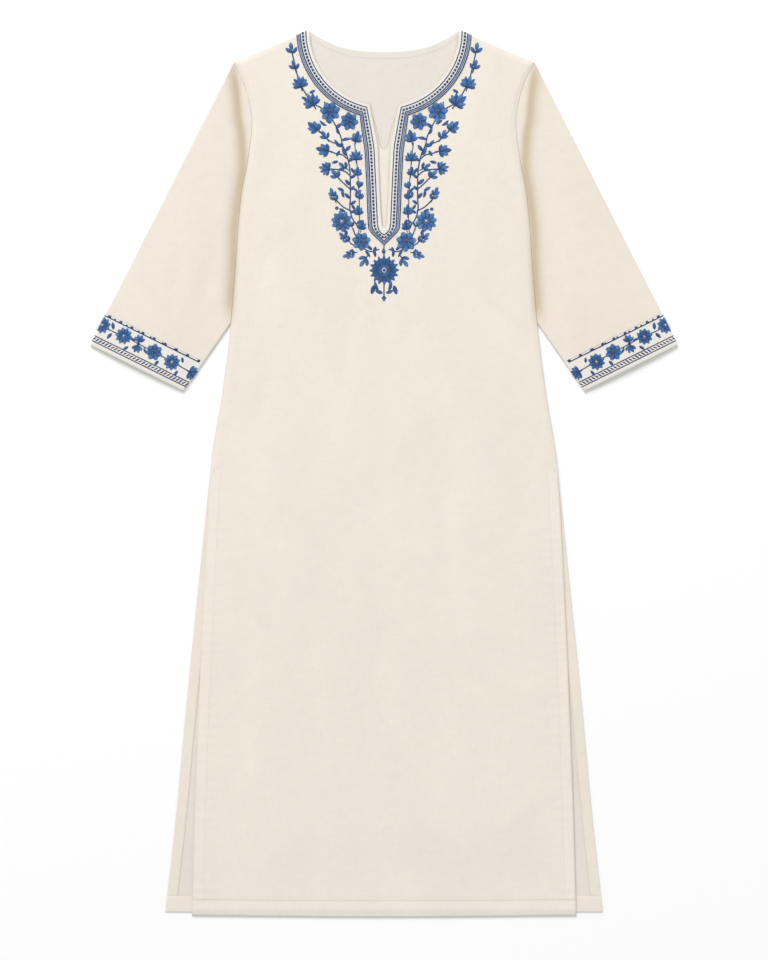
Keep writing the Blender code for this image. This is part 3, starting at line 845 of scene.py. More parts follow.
def make_tube(name, node, slot, material, line_start, line_end, along, side, sewn=()):
    """A flattened tube between two lines, with the sleeve's folds on its upper layer."""
    around = 128
    radius = SLEEVE_HEIGHT / 2
    turn = 8                                  # steps round each folded edge
    flat_steps = around // 2 - turn
    degrees = np.linspace(0, 90, turn // 2 + 1)
    inset = radius * (1 - np.cos(np.radians(degrees)))
    height = radius * np.sin(np.radians(degrees))

    def place(u, v):
        step = np.round(u * around) % around
        lower = step > around / 2
        step = np.where(lower, around - step, step)
        half = turn // 2
        from_fold = np.minimum(step, around / 2 - step)
        arc = np.interp(from_fold, np.arange(half + 1), inset)
        width_start, width_end = (math.dist(line(0.0), line(1.0)) for line in (line_start, line_end))
        width = width_start + (width_end - width_start) * v
        inner = (step - half) / flat_steps
        share = radius / width + (1 - 2 * radius / width) * inner
        share = np.where(from_fold < half, arc / width, share)
        share = np.where((from_fold < half) & (step > around / 4), 1 - arc / width, share)
        rise = np.interp(from_fold, np.arange(half + 1), height)
        sx, sy = line_start(share)
        ex, ey = line_end(share)
        x, y = sx + (ex - sx) * v, sy + (ey - sy) * v
        lift = sleeve_rise(x, y, share, side)
        z = np.where(lower, radius - rise, radius + rise + np.minimum(rise / radius, 1) * lift)
        return side * x, y, z

    mesh = faced_up(placed_grid(name, around, along, place), weld=0.01 * MM)
    outline = [line(share) for line in (line_start, line_end) for share in (0.0, 0.5, 1.0)]
    _, across_sleeve, up_sleeve = cuff_frame()
    width = np.ptp(np.dot(outline, across_sleeve))
    cut = Cut((2 * width, np.ptp(np.dot(outline, up_sleeve))), area_of(mesh))
    cloth_piece(
        name, node, slot, material, mesh, CLOTH, cut, ["floor"], sewn, sleeve_shade, upwards=False
    )


def make_sleeves(material, border):
    for side in (LEFT, RIGHT):
        word = WORDS[side]
        make_tube(
            f"sleeve_cloth_{word}", f"sleeve_{word}", "cotton", material,
            armhole, lambda share: up_from_cuff(share, CUFF_DEPTH + TOUCH), 84, side,
        )
        make_tube(
            f"cuff_cloth_{word}", f"cuff_band_{word}", "border_cloth", border,
            lambda share: up_from_cuff(share, CUFF_DEPTH - TOUCH), lambda share: up_from_cuff(share, 0.0),
            14, side, [f"cuff_embroidery_{word}"],
        )


# ---- the neck band's own lines ----

ARC_STEPS = 30


def band_line(offset):
    """A line along the whole neck band. offset 0 is the first embroidered line, and 1 the last."""
    rows = np.array(BAND)
    first, last = rows[:, 2:4], rows[:, 4:6]
    line = first + (last - first) * offset
    radius = FIRST_LINE_RADIUS + (LAST_LINE_RADIUS - FIRST_LINE_RADIUS) * offset
    start = math.degrees(math.acos(line[-1][0] / radius))
    stop = math.degrees(math.asin((HALF_LENGTH - shoulder_y(radius)) / radius))
    arc = np.stack(neck_arc(radius, np.linspace(start, stop, ARC_STEPS)), 1)
    half = np.concatenate([refined(line[:-1], 3.0 * MM), arc])
    return np.stack(both_halves(*half.T), 1)


def refined(points, step):
    """The same bent line with points about step apart."""
    lengths = np.hypot(*np.diff(points, axis=0).T)
    done = np.concatenate([[0], np.cumsum(lengths)])
    at = np.linspace(0, done[-1], max(2, int(done[-1] / step) + 1))
    return np.stack([np.interp(at, done, points[:, 0]), np.interp(at, done, points[:, 1])], 1)


def make_neck_band(material):
    """The border's cloth, from the neck's edge to just past its last line."""
    rows = np.array(BAND)
    beyond = BAND_MARGIN / (LAST_LINE_RADIUS - FIRST_LINE_RADIUS)
    outset = rows[:, 2:4] + (rows[:, 4:6] - rows[:, 2:4]) * (1 + beyond)

    def with_arc(line, radius, start, stop):
        """The line, then an arc round the middle of the neck, from start to stop degrees."""
        arc = neck_arc(radius, np.linspace(start, stop, ARC_STEPS))
        return np.concatenate([line, np.stack(arc, 1)])

    inner = with_arc(rows[:, 0:2], NECK_RADIUS + GAP, CORNER_DEGREES - 2, 0.5)
    outer = with_arc(outset, LAST_LINE_RADIUS + BAND_MARGIN, 72.5, 2.6)

    def level(x, y):
        return front_top(x, y) + BAND_LIFT

    make_strip(
        "neck_band_cloth", "neck_band", "border_cloth", material,
        both_halves(*inner.T), both_halves(*outer.T), level, BAND_WALL, 20, rests_on=["front_cloth"],
        # painted shade along the band's inner edge
        sewn=["neck_band_embroidery"], shade=edge_shade(refined(inner, 1.0 * MM), 0.22),
    )


# ---- thread ----

STRAND = 0.50 * MM


def thread(name, colours, gloss=0.5):
    """Stranded cotton. colours are the tone's stops: its place from 0 to 1, and the colour there."""
    found = bpy.data.materials.get(name)
    if found:
        return found
    made, tree, shader = new_material(name, 1 - gloss, 0.35, 0.15)
    tone = tree.add("ShaderNodeAttribute", attribute_name="tone").outputs["Fac"]
    shade = tree.add("ShaderNodeAttribute", attribute_name="shade").outputs["Fac"]
    strands = tree.add("ShaderNodeUVMap", uv_map="thread").outputs["UV"]
    # streaks along the strands: partly painted sheen, partly uneven thread colour
    sheen_streaks = tree.noise(tree.stretched(strands, (2600.0, 260.0, 0.0)), 1.0, detail=1.0)
    where = tree.add("ShaderNodeTexCoord").outputs["Object"]
    patches = tree.noise(where, 210.0, detail=1.0)
    mixed = tree.total(tone, shade, tree.around(sheen_streaks, 0.85), tree.around(patches, 0.35))
    ramp = tree.add("ShaderNodeValToRGB")
    stops = ramp.color_ramp.elements
    while len(stops) < len(colours):
        stops.new(0.5)
    for stop, (place, colour) in zip(stops, colours):
        stop.position = place
        stop.color = (*colour, 1)
    tree.link(mixed, ramp.inputs["Fac"])
    tree.link(ramp.outputs["Color"], shader.inputs["Base Color"])
    split = tree.add("ShaderNodeSeparateXYZ")
    tree.link(strands, split.inputs[0])
    ridge = tree.math("SINE", tree.math("MULTIPLY", split.outputs["X"], 2 * math.pi / STRAND))
    tree.bump(ridge, 0.8, 0.12 * MM, shader)
    return made


# Tones: 0 is the darkest navy, 1 the palest blue.
NAVY, DEEP, MID, SOFT, PALE = 0.06, 0.28, 0.48, 0.70, 0.95
Tones = namedtuple("Tones", "root tip")
PETAL = Tones(DEEP, 0.66)
PETAL_UNDER = Tones(NAVY, DEEP)
LEAF = Tones(0.16, 0.50)
STEM = Tones(0.16, 0.24)


class Patches:
    """Domed patches of satin stitch gathered into one mesh. Sizes here are in millimetres."""

    ACROSS = 6
    ALONG = 7

    def __init__(self):
        self.points = []
        self.tones = []
        self.strands = []

    def patch(self, root, degrees, length, width, tones, widest=1.35, blunt=0.60, bend=0.0,
              height=0.60, lift=0.0):
        """A petal, leaf or stitch from root. widest over 1 puts its fullest part nearer the tip."""
        s = np.linspace(-1, 1, self.ACROSS + 1)[:, None]
        t = np.linspace(0, 1, self.ALONG + 1)[None, :]
        swell = np.sin(math.pi * np.clip(t, 0.015, 0.985) ** widest) ** blunt
        across = s * swell * width / 2 + bend * length * t**2
        along = t * length + 0 * s
        cos, sin = math.cos(math.radians(degrees)), math.sin(math.radians(degrees))
        x = root[0] + cos * along - sin * across
        y = root[1] + sin * along + cos * across
        z = lift - 0.15 + (height + 0.15) * np.minimum(1, 1.4 * swell) * np.sqrt(1 - (0.995 * s) ** 2)
        rim = 0.10 * (s**2) * (tones.root < 0.6)
        tone = tones.root + (tones.tip - tones.root) * t - rim
        self.points.append(np.stack([x, y, z], 2).reshape(-1, 3))
        self.tones.append(tone.ravel())
        self.strands.append(np.stack([s * width / 2 + 0 * t, along], 2).reshape(-1, 2))

    def dome(self, y, radius, tone, lift=0.0):
        """A round knot."""
        tones = Tones(tone, tone)
        self.patch((-radius, y), 0, 2 * radius, 2 * radius, tones, 1.0, 0.55, height=0.7, lift=lift)

    def stem(self, foot, length, width):
        self.patch((0, foot), 90, length, width, STEM, 1.0, 0.4)

    def petals(self, inner, outer, width, count, tones, start, **more):
        """A ring of petals round the middle; the first points start degrees from +X."""
        for i in range(count):
            degrees = start + 360.0 * i / count
            angle = math.radians(degrees)
            root = (inner * math.cos(angle), inner * math.sin(angle))
            self.patch(root, degrees, outer - inner, width, tones, **more)

    def mesh(self, name):
        rows, columns = self.ACROSS + 1, self.ALONG + 1
        i, j = np.meshgrid(np.arange(self.ACROSS), np.arange(self.ALONG), indexing="ij")
        low = (i * columns + j).ravel()
        quads = np.stack([low, low + 1, low + columns + 1, low + columns], 1)
        faces = np.concatenate([quads + k * rows * columns for k in range(len(self.points))])
        made = bpy.data.meshes.new(name)
        made.from_pydata((np.concatenate(self.points) * MM).tolist(), [], faces.tolist())
        tone = made.attributes.new("tone", "FLOAT", "POINT")
        tone.data.foreach_set("value", np.concatenate(self.tones).astype(np.float32))
        strands = (np.concatenate(self.strands) * MM).astype(np.float32)
        layer = made.uv_layers.new(name="thread")
        layer.uv.foreach_set("vector", strands[faces.ravel()].ravel())
        made.shade_smooth()
        return made


# ---- motifs: each is drawn about its own root or middle, upright ----

def draw_fan(work):
    """A five-petalled fan flower on a short stem, 18 mm tall."""
    for degrees in (150, 30):
        work.patch((0, 4.5), degrees, 8.0, 4.0, LEAF, widest=1.2)
    for degrees in (118, 62):
        work.patch((0, 4.8), degrees, 10.6, 4.9, PETAL)
    work.patch((0, 4.6), 90, 13.4, 5.2, Tones(NAVY, MID), lift=0.15)
    work.stem(0, 6.0, 1.5)


def draw_spiked(work):
    """A fuller fan of seven narrow petals, 18 mm tall."""
    for i, degrees in enumerate((168, 142, 116, 90, 64, 38, 12)):
        length = 13.0 - 1.5 * abs(i - 3)
        tones = PETAL if i % 2 else Tones(NAVY, MID)
        work.patch((0, 5.0), degrees, length, 3.9, tones, lift=0.1 * (i % 2))
    work.dome(5.2, 1.7, NAVY, lift=0.2)
    work.stem(0, 5.5, 1.5)


def draw_round(work):
    """A seven-petalled flower with a small dark eye, 22 mm across."""
    work.petals(2.2, 8.8, 2.8, 7, PETAL_UNDER, start=26)
    work.petals(1.2, 10.8, 6.0, 7, PETAL, start=0, widest=1.7, blunt=0.5, lift=0.15)
    work.dome(0, 2.2, DEEP, lift=0.3)
    work.dome(0, 1.0, NAVY, lift=0.7)


def draw_ringed(work):
    """A ten-petalled flower with a pale eye, 23 mm across."""
    work.petals(2.4, 9.4, 2.6, 10, PETAL_UNDER, start=18)
    work.petals(1.8, 11.6, 4.8, 10, PETAL, start=0, widest=1.6, blunt=0.5, lift=0.15)
    work.dome(0, 2.3, MID, lift=0.3)
    work.dome(0, 1.3, 1.1, lift=0.7)


def draw_daisy(work):
    """The large flower under the slit, 43 mm across: rings of petals round a ringed eye."""
    work.petals(5.0, 17.8, 3.4, 16, PETAL_UNDER, start=101)
    work.petals(4.4, 21.5, 5.6, 16, Tones(0.20, 0.50), start=90, widest=1.3, lift=0.15)
    work.petals(3.9, 9.5, 1.4, 16, Tones(SOFT, MID), start=101, lift=0.5)
    work.dome(0, 5.0, DEEP, lift=0.3)
    work.dome(0, 4.2, PALE, lift=0.55)
    work.dome(0, 2.1, -0.1, lift=1.0)


def draw_sprig(work):
    """Three leaves on a stem, 14 mm tall."""
    work.stem(0, 8.5, 1.4)
    work.patch((0, 6.6), 90, 7.6, 4.0, PETAL, widest=1.1)
    work.patch((0, 4.0), 142, 7.2, 3.7, LEAF, widest=1.15, bend=-0.12)
    work.patch((0, 4.8), 38, 7.2, 3.7, LEAF, widest=1.15, bend=0.12)


def draw_branch(work):
    """Five leaves in pairs up a stem, 17 mm tall."""
    work.stem(0, 12.0, 1.4)
    work.patch((0, 10.0), 90, 7.2, 4.0, PETAL, widest=1.1)
    for foot, length in ((3.2, 6.6), (7.6, 6.0)):
        work.patch((0, foot), 138, length, 3.5, LEAF, widest=1.15, bend=-0.15)
        work.patch((0, foot + 1.0), 42, length, 3.5, PETAL, widest=1.15, bend=0.15)


def draw_cup(work):
    """A cup-shaped flower, 13 mm tall."""
    work.patch((-0.6, 2.2), 128, 9.0, 4.4, LEAF, bend=-0.22)
    work.patch((0.6, 2.2), 52, 9.0, 4.4, LEAF, bend=0.22)
    work.patch((0, 2.4), 106, 9.6, 4.0, PETAL, lift=0.1)
    work.patch((0, 2.4), 74, 9.6, 4.0, PETAL, lift=0.15)
    work.dome(2.6, 1.9, NAVY, lift=0.2)
    work.stem(-1.2, 4.2, 1.3)


def draw_bud(work):
    """A closed bud with two sepals, 10 mm tall."""
    work.patch((0, 2.2), 90, 7.8, 4.8, PETAL, widest=1.05)
    work.patch((0, 1.8), 134, 5.2, 2.6, LEAF, bend=-0.2)
    work.patch((0, 1.8), 46, 5.2, 2.6, LEAF, bend=0.2)
    work.stem(-0.6, 4.0, 1.2)


def draw_leaf(work):
    """One leaf, 8 mm long."""
    work.patch((0, 0), 90, 8.0, 3.9, LEAF, widest=0.95, bend=0.05)


def draw_comma(work):
    """One curled leaf, 9 mm long."""
    work.patch((0, 0), 90, 9.0, 3.6, LEAF, widest=1.2, bend=0.38)


def draw_berry(work):
    """A knot 4 mm across."""
    work.dome(0, 2.0, 0.30)


def draw_double(work):
    """Two small fans back to back across a stem, 22 mm from tip to tip."""
    for way in (90, 270):
        foot = 1.6 if way == 90 else -1.6
        for spread, length in ((-48, 8.6), (-16, 10.0), (16, 10.0), (48, 8.6)):
            work.patch((0, foot), way + spread, length, 4.2, PETAL if spread > 0 else LEAF)
    work.dome(0, 2.0, NAVY, lift=0.2)


MOTIFS = {
    "fan": draw_fan, "spiked": draw_spiked, "round": draw_round, "ringed": draw_ringed,
    "daisy": draw_daisy, "sprig": draw_sprig, "branch": draw_branch, "cup": draw_cup,
    "bud": draw_bud, "leaf": draw_leaf, "comma": draw_comma, "berry": draw_berry,
    "double": draw_double,
}


# ---- Geometry Nodes: motifs set out on points, and stitches along a line ----

def geometry_group(name, inputs):
    """A Geometry Nodes group that also takes what every one here does."""
    shared = [
        ("Seed", "NodeSocketInt", 1),
        ("Material", "NodeSocketMaterial", None),
    ]
    geometry = ("Geometry", "NodeSocketGeometry")
    return new_group(name, "GeometryNodeTree", [(*geometry, None), *inputs, *shared], [geometry])


def finish_instances(tree, points, instance, angle, size, inside, outside):
    """Puts the given object on points, turned and scaled, and ends with plain mesh in its material."""
    source = tree.add("GeometryNodeObjectInfo", transform_space="ORIGINAL")
    tree.link(instance, source.inputs["Object"])
    turned = tree.add("ShaderNodeCombineXYZ")
    tree.link(angle, turned.inputs["Z"])
    rotation = tree.add("FunctionNodeEulerToRotation")
    tree.link(turned.outputs[0], rotation.inputs[0])
    place = tree.add("GeometryNodeInstanceOnPoints")
    tree.link(points, place.inputs["Points"])
    tree.link(source.outputs["Geometry"], place.inputs["Instance"])
    tree.link(rotation.outputs[0], place.inputs["Rotation"])
    tree.link(size, place.inputs["Scale"])
    plain = tree.add("GeometryNodeRealizeInstances")
    tree.link(place.outputs[0], plain.inputs[0])
    dressed = tree.add("GeometryNodeSetMaterial")
    tree.link(plain.outputs[0], dressed.inputs["Geometry"])
    tree.link(inside.outputs["Material"], dressed.inputs["Material"])
    tree.link(dressed.outputs[0], outside.inputs[0])


def uneven(tree, seed, amount):
    """A random value from -amount to amount that differs from point to point."""
    node = tree.add("FunctionNodeRandomValue", data_type="FLOAT")
    sockets = {socket.identifier: socket for socket in node.inputs}
    tree.link(tree.math("MULTIPLY", amount, -1.0), sockets["Min_001"])
    tree.link(amount, sockets["Max_001"])
    tree.link(seed, sockets["Seed"])
    return next(socket for socket in node.outputs if socket.identifier == "Value_001")


def shaded(tree, geometry, value):
    """Stores the value on the points as their shade."""
    node = tree.add("GeometryNodeStoreNamedAttribute", data_type="FLOAT", domain="POINT")
    tree.link(geometry, node.inputs["Geometry"])
    node.inputs["Name"].default_value = "shade"
    tree.link(value, next(socket for socket in node.inputs if socket.name == "Value" and socket.enabled))
    return node.outputs[0]


def motif_group():
    found = bpy.data.node_groups.get("Set out motifs")
    if found:
        return found
    tree, inside, outside = geometry_group(
        "Set out motifs",
        [
            ("Motif", "NodeSocketObject", None),
            ("Shade variation", "NodeSocketFloat", 0.06),
        ],
    )
    readings = {}
    for name in ("turn", "size"):
        node = tree.add("GeometryNodeInputNamedAttribute", data_type="FLOAT")
        node.inputs["Name"].default_value = name
        readings[name] = node.outputs["Attribute"]
    variation = uneven(tree, inside.outputs["Seed"], inside.outputs["Shade variation"])
    points = shaded(tree, inside.outputs["Geometry"], variation)
    finish_instances(
        tree, points, inside.outputs["Motif"], readings["turn"], readings["size"], inside, outside
    )
    return tree.tree


def stitch_group():
    found = bpy.data.node_groups.get("Stitches along a line")
    if found:
        return found
    tree, inside, outside = geometry_group(
        "Stitches along a line",
        [
            ("Stitch", "NodeSocketObject", None),
            ("Pitch", "NodeSocketFloat", 3.0 * MM),
            ("Turn", "NodeSocketFloat", 0.0),
            ("Unevenness", "NodeSocketFloat", 0.06),
        ],
    )
    curve = tree.add("GeometryNodeMeshToCurve")
    tree.link(inside.outputs["Geometry"], curve.inputs[0])
    even = tree.add("GeometryNodeResampleCurve", mode="LENGTH")
    tree.link(curve.outputs[0], even.inputs["Curve"])
    tree.link(inside.outputs["Pitch"], even.inputs["Length"])
    tangent = tree.add("ShaderNodeSeparateXYZ")
    tree.link(tree.add("GeometryNodeInputTangent").outputs[0], tangent.inputs[0])
    wobble = uneven(tree, inside.outputs["Seed"], inside.outputs["Unevenness"])
    angle = tree.math("ARCTAN2", tangent.outputs["Y"], tangent.outputs["X"])
    angle = tree.total(angle, inside.outputs["Turn"], wobble)
    size = tree.total(wobble, 1.0)
    points = shaded(tree, even.outputs[0], wobble)
    finish_instances(tree, points, inside.outputs["Stitch"], angle, size, inside, outside)
    return tree.tree


def realized(source, group, settings):
    """The plain mesh that a Geometry Nodes group makes of the source mesh."""
    holder = new_object("stitch_source", source)
    modifier = holder.modifiers.new("Nodes", "NODES")
    modifier.node_group = group
    sockets = {item.name: item.identifier for item in group.interface.items_tree if item.in_out == "INPUT"}
    for name, value in settings.items():
        modifier[sockets[name]] = value
    graph = bpy.context.evaluated_depsgraph_get()
    made = bpy.data.meshes.new_from_object(holder.evaluated_get(graph), depsgraph=graph)
    bpy.data.objects.remove(holder)
    bpy.data.meshes.remove(source)
    return made


def line_mesh(lines):
    """Bent lines, each an array of x and y, as one mesh of edges."""
    points, edges = [], []
    for line in lines:
        start = len(points)
        points += [(float(x), float(y), 0.0) for x, y in line]
        edges += [(start + i, start + i + 1) for i in range(len(line) - 1)]
    mesh = bpy.data.meshes.new("lines")
    mesh.from_pydata(points, edges, [])
    return mesh


def helper(work, name):
    """The work as an object for Geometry Nodes. It is in no collection, so it isn't shown."""
    return new_object(name, work.mesh(name), shown=False)


def stitch(name, length, width, tones, height=0.55, blunt=0.40, degrees=0.0):
    found = bpy.data.objects.get(name)
    if found:
        return found
    work = Patches()
    work.ACROSS, work.ALONG = 4, 5
    angle = math.radians(degrees)
    root = (-length / 2 * math.cos(angle), -length / 2 * math.sin(angle))
    work.patch(root, degrees, length, width, tones, 1.0, blunt, height=height)
    return helper(work, name)


def motif(kind):
    name = f"motif_{kind}"
    found = bpy.data.objects.get(name)
    if found:
        return found
    work = Patches()
    MOTIFS[kind](work)
    return helper(work, name)


def run_of(lines, stitch_object, pitch, material, turn=0.0, unevenness=0.06, seed=1):
    """One stitch set out along the lines as plain mesh."""
    return realized(
        line_mesh(lines),
        stitch_group(),
        {
            "Stitch": stitch_object,
            "Pitch": float(pitch),
            "Turn": float(turn),
            "Unevenness": float(unevenness),
            "Seed": int(seed),
            "Material": material,
        },
    )


Motif = namedtuple("Motif", "kind x y size turn")


def motifs(**kinds):
    """A table of motifs. Under each kind, a row holds x and y in mm, the size as a factor, and the
    turn in degrees."""
    return [Motif(kind, *row) for kind, rows in kinds.items() for row in rows]


def set_out(table, material, seed, scale=1.0):
    """The motifs of one table as plain meshes, a little uneven in place, size and turn."""
    chance = np.random.default_rng(seed)
    made = []
    for kind in sorted({row.kind for row in table}):
        rows = [row for row in table if row.kind == kind]
        points = bpy.data.meshes.new("points")
        places = [
            ((row.x + chance.normal(0, 0.35)) * MM, (row.y + chance.normal(0, 0.35)) * MM, 0.0)
            for row in rows
        ]
        points.from_pydata(places, [], [])
        turn = [math.radians(row.turn + chance.normal(0, 3.0)) for row in rows]
        size = [row.size * scale * (1 + chance.normal(0, 0.025)) for row in rows]
        for name, values in (("turn", turn), ("size", size)):
            points.attributes.new(name, "FLOAT", "POINT").data.foreach_set("value", values)
        made.append(
            realized(
                points, motif_group(), {"Motif": motif(kind), "Seed": seed, "Material": material}
            )
        )
    return made


def gathered(name, meshes, place, mirrored_from=None):
    """Joins meshes, and puts every point where place(x, y, rise) says. From mirrored_from on,
    the meshes are mirrored in X first."""
    made = bmesh.new()
    for i, mesh in enumerate(meshes):
        flip = mirrored_from is not None and i >= mirrored_from
        x, y, z = points_of(mesh).astype(float)
        move_points(mesh, *place(-x if flip else x, y, z))
        if flip:
            mesh.flip_normals()
        made.from_mesh(mesh)
    joined = bpy.data.meshes.new(name)
    made.to_mesh(joined)
    made.free()
    joined.materials.append(meshes[0].materials[-1])
    joined.polygons.foreach_set("material_index", np.zeros(len(joined.polygons), np.int32))
    for mesh in meshes:
        bpy.data.meshes.remove(mesh)
    joined.shade_smooth()
    return new_object(name, joined)


def laid_on(surface):
    def place(x, y, rise):
        return x, y, surface(x, y) + rise

    return place


def sewn_on(piece):
    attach(piece, "root")


def smooth_line(points):
    """A soft curve through points in millimetres, as an array in metres about 2 mm apart."""
    points = np.array(points, float)
    at = np.concatenate([[0], np.cumsum(np.hypot(*np.diff(points, axis=0).T))])
    fine = np.linspace(0, at[-1], max(2, int(at[-1] / 2.0)))
    tangents = np.gradient(points, at, axis=0)
    i = np.clip(np.searchsorted(at, fine, side="right") - 1, 0, len(at) - 2)
    run = (at[i + 1] - at[i])[:, None]
    t = ((fine - at[i])[:, None]) / run
    return MM * cubic(t, run, points[i], points[i + 1], tangents[i], tangents[i + 1])


# ---- the yoke's flowers, on the wearer's left; the right half mirrors them ----

YOKE_SCALE = 1.18
YOKE = motifs(
    sprig=(
        (127, 582, 1.32, -12), (123, 560, 1.20, -14), (77, 464, 1.18, -34), (60, 409, 1.22, -44),
        (21, 308, 1.34, -146), (34.5, 379, 1.08, 4), (48, 424, 1.12, -58), (43, 341, 0.90, -20),
    ),
    spiked=((114, 535, 1.14, -16), (95, 510, 1.24, -34), (71, 425, 1.02, -78), (38.5, 433, 0.98, 4)),
    leaf=(
        (104, 533, 1.00, 60), (91, 481, 0.95, 12), (68, 415, 0.85, 10), (36, 396, 0.85, -60),
        (36, 388, 0.80, 60), (73, 490, 1.15, -60), (68, 483, 1.20, 46), (63, 475, 1.10, -20),
        (57, 461, 1.10, -104), (54, 451, 1.20, 34), (50, 437, 1.10, 50), (47.5, 413, 1.00, 52),
        (47, 404, 1.20, -52), (47, 396, 1.00, 44), (47, 385, 1.15, -48), (47, 377, 1.00, 50),
        (46, 364, 1.00, 56), (42, 421, 0.95, -35), (40, 370, 0.95, -40), (56, 396, 1.10, -70),
        (54, 366, 1.00, -60), (64, 437, 1.05, -110), (62, 452, 1.00, -150), (118, 548, 1.00, 60),
        (107, 524, 1.00, -70), (51, 334, 1.05, -30), (11, 318, 1.15, -168), (16, 313, 1.05, -50),
        (14, 313, 1.05, 165), (2, 253, 1.20, -72), (14, 264, 1.40, -165),
    ),
    round=((75, 507, 1.14, 10), (49, 493, 1.02, 30), (31, 325, 1.10, 15)),
    fan=(
        (88, 476, 1.12, -50), (71, 450, 1.18, -80), (41, 459, 1.06, 10), (36.5, 413, 0.78, -6),
        (34.0, 358, 0.90, -4), (32.5, 337, 0.86, 8),
    ),
    branch=((66, 378, 1.20, -20), (45, 322, 1.14, -50), (36, 311, 1.12, -112)),
    berry=((66, 371, 1.15, 0), (44, 313, 0.80, 0)),
    ringed=((59, 353, 1.12, 8),),
    cup=((35.5, 399, 0.80, 20),),
    comma=(
        (60, 466, 1.25, 56), (59, 457, 1.30, -62), (53, 445, 1.30, -46), (41, 390, 1.05, 30),
        (39.5, 349, 1.00, 35), (55, 386, 1.15, -30), (80, 487, 1.10, -75), (27, 312, 1.05, 120),
        (7.0, 256, 1.35, -40),
    ),
)
MIDDLE = motifs(
    bud=((0, 307, 0.95, 0), (0, 250.5, 1.00, 180)),
    daisy=((0, 284.3, 1.00, 0),),
)
VINES = (
    ((127, 583), (124, 570), (119.5, 552), (112, 536), (100, 519), (86, 511)),
    ((83, 519), (76, 502), (66, 484), (60, 470), (58, 460), (53, 449), (49.5, 436), (47.6, 424), (47, 410)),
    ((47.1, 412), (47, 400), (47, 387), (47.4, 369), (43, 355), (37, 347)),
    ((90, 479), (82, 470), (73, 464), (65, 461), (57, 457)),
    ((74, 450), (66, 447.5), (58, 446), (51.8, 441)),
    ((73, 426), (62, 425), (53, 422), (47.6, 417)),
    ((62, 412), (56, 406), (47, 398)),
    ((66, 382), (58, 374), (47, 368)),
    ((43, 342), (40, 334), (36, 329)),
    ((46, 322), (38, 318), (28, 315), (19, 311), (8, 314)),
    ((36, 330), (34.5, 350), (34.4, 372), (35.2, 396), (36.2, 414), (38.5, 440), (41, 462)),
)


STEM_PITCH = 2.3 * MM


def band_thread():
    colours = bpy.context.scene.kurta.thread
    return thread(
        "Blue thread", ((0.0, colours.navy), (0.35, colours.deep), (0.65, colours.mid), (1.0, colours.pale))
    )


def make_yoke():
    material = band_thread()
    stem = stitch("stem_stitch", 3.9, 2.2, STEM)
    fine_stem = stitch("fine_stem_stitch", 3.4, 1.7, LEAF)
    *vines, fine_vine = [smooth_line(vine) for vine in VINES]

    def half(motif_seed, stitch_seed):
        return [
            *set_out(YOKE, material, motif_seed, YOKE_SCALE),
            run_of(vines, stem, STEM_PITCH, material, 0.16, seed=stitch_seed),
            run_of([fine_vine], fine_stem, STEM_PITCH, material, 0.14, seed=stitch_seed),
        ]

    meshes = half(3, 1) + set_out(MIDDLE, material, 5)
    stems = [smooth_line(line) for line in (((0, 320), (0, 300)), ((0, 266), (0, 246)))]
    meshes.append(run_of(stems, stem, STEM_PITCH, material, 0.16))
    whole = len(meshes)
    piece = gathered("yoke_embroidery", meshes + half(11, 4), laid_on(front_top), mirrored_from=whole)
    sewn_on(piece)


# Lines of stitches round the neck band: where across it, then the stitches' size and tone.
DOTS_OFFSET = 0.34
DOTS_PITCH = 4.9
BandRun = namedtuple("BandRun", "name offset pitch length width tone")
BAND_RUNS = (
    BandRun("inner_line", 0.01, 2.1, 2.9, 1.80, -0.06),
    BandRun("dots", DOTS_OFFSET, DOTS_PITCH, 3.4, 3.7, -0.08),
    BandRun("bold_line", 0.63, 2.0, 2.9, 2.20, -0.02),
    BandRun("pale_inner", 0.73, 2.1, 2.8, 1.30, 0.92),
    BandRun("pale_outer", 0.91, 2.1, 2.8, 1.10, 0.92),
    BandRun("middle_line", 0.82, 2.1, 2.8, 1.20, 0.12),
    BandRun("outer_line", 1.00, 2.1, 2.9, 1.80, -0.02),
)


def make_band_stitches():
    material = band_thread()
    meshes = []
    for i, run in enumerate(BAND_RUNS):
        made = stitch(run.name, run.length, run.width, Tones(run.tone, run.tone + 0.05))
        meshes.append(run_of([band_line(run.offset)], made, run.pitch * MM, material, 0.06, seed=i))
    # pale ticks across the line of dots, three to a dot and a little longer than it is
    tick = stitch("tick", 4.0, 0.75, Tones(0.62, 0.7), height=0.4, degrees=90)
    meshes.append(run_of([band_line(DOTS_OFFSET)], tick, DOTS_PITCH / 3 * MM, material, seed=20))
    piece = gathered("neck_band_embroidery", meshes, laid_on(band_top))
    sewn_on(piece)


# ---- cuff borders, in millimetres: x along the edge from the outer fold, y up from it ----

CUFF_MOTIFS = motifs(
    ringed=((3.2, 32.0, 1.05, 0), (36.5, 31.5, 1.02, 12), (113.5, 29.0, 1.04, 0)),
    leaf=(
        (19.5, 33.5, 1.30, 20), (20.5, 28.0, 1.30, 160), (50.0, 22.0, 1.15, 145),
        (54.5, 32.0, 1.00, 75), (96.5, 22.5, 1.15, 165), (126.0, 21.5, 1.10, 160),
        (127.0, 34.0, 1.00, 20),
    ),
    double=((60.0, 31.0, 1.16, 12),),
    comma=((69.5, 30.0, 1.10, -150),),
    round=((85.0, 30.0, 1.10, 5),),
    spiked=((134.5, 27.5, 1.20, -90),),
)
CUFF_VINE = ((0, 31), (20, 30.5), (40, 32), (60, 31), (84, 30), (112, 29.5), (138, 28), (146, 28))
CUFF_WIDTH = 146.0
LADDER = (6.4, 14.0)
TOP_LINE = 45.6


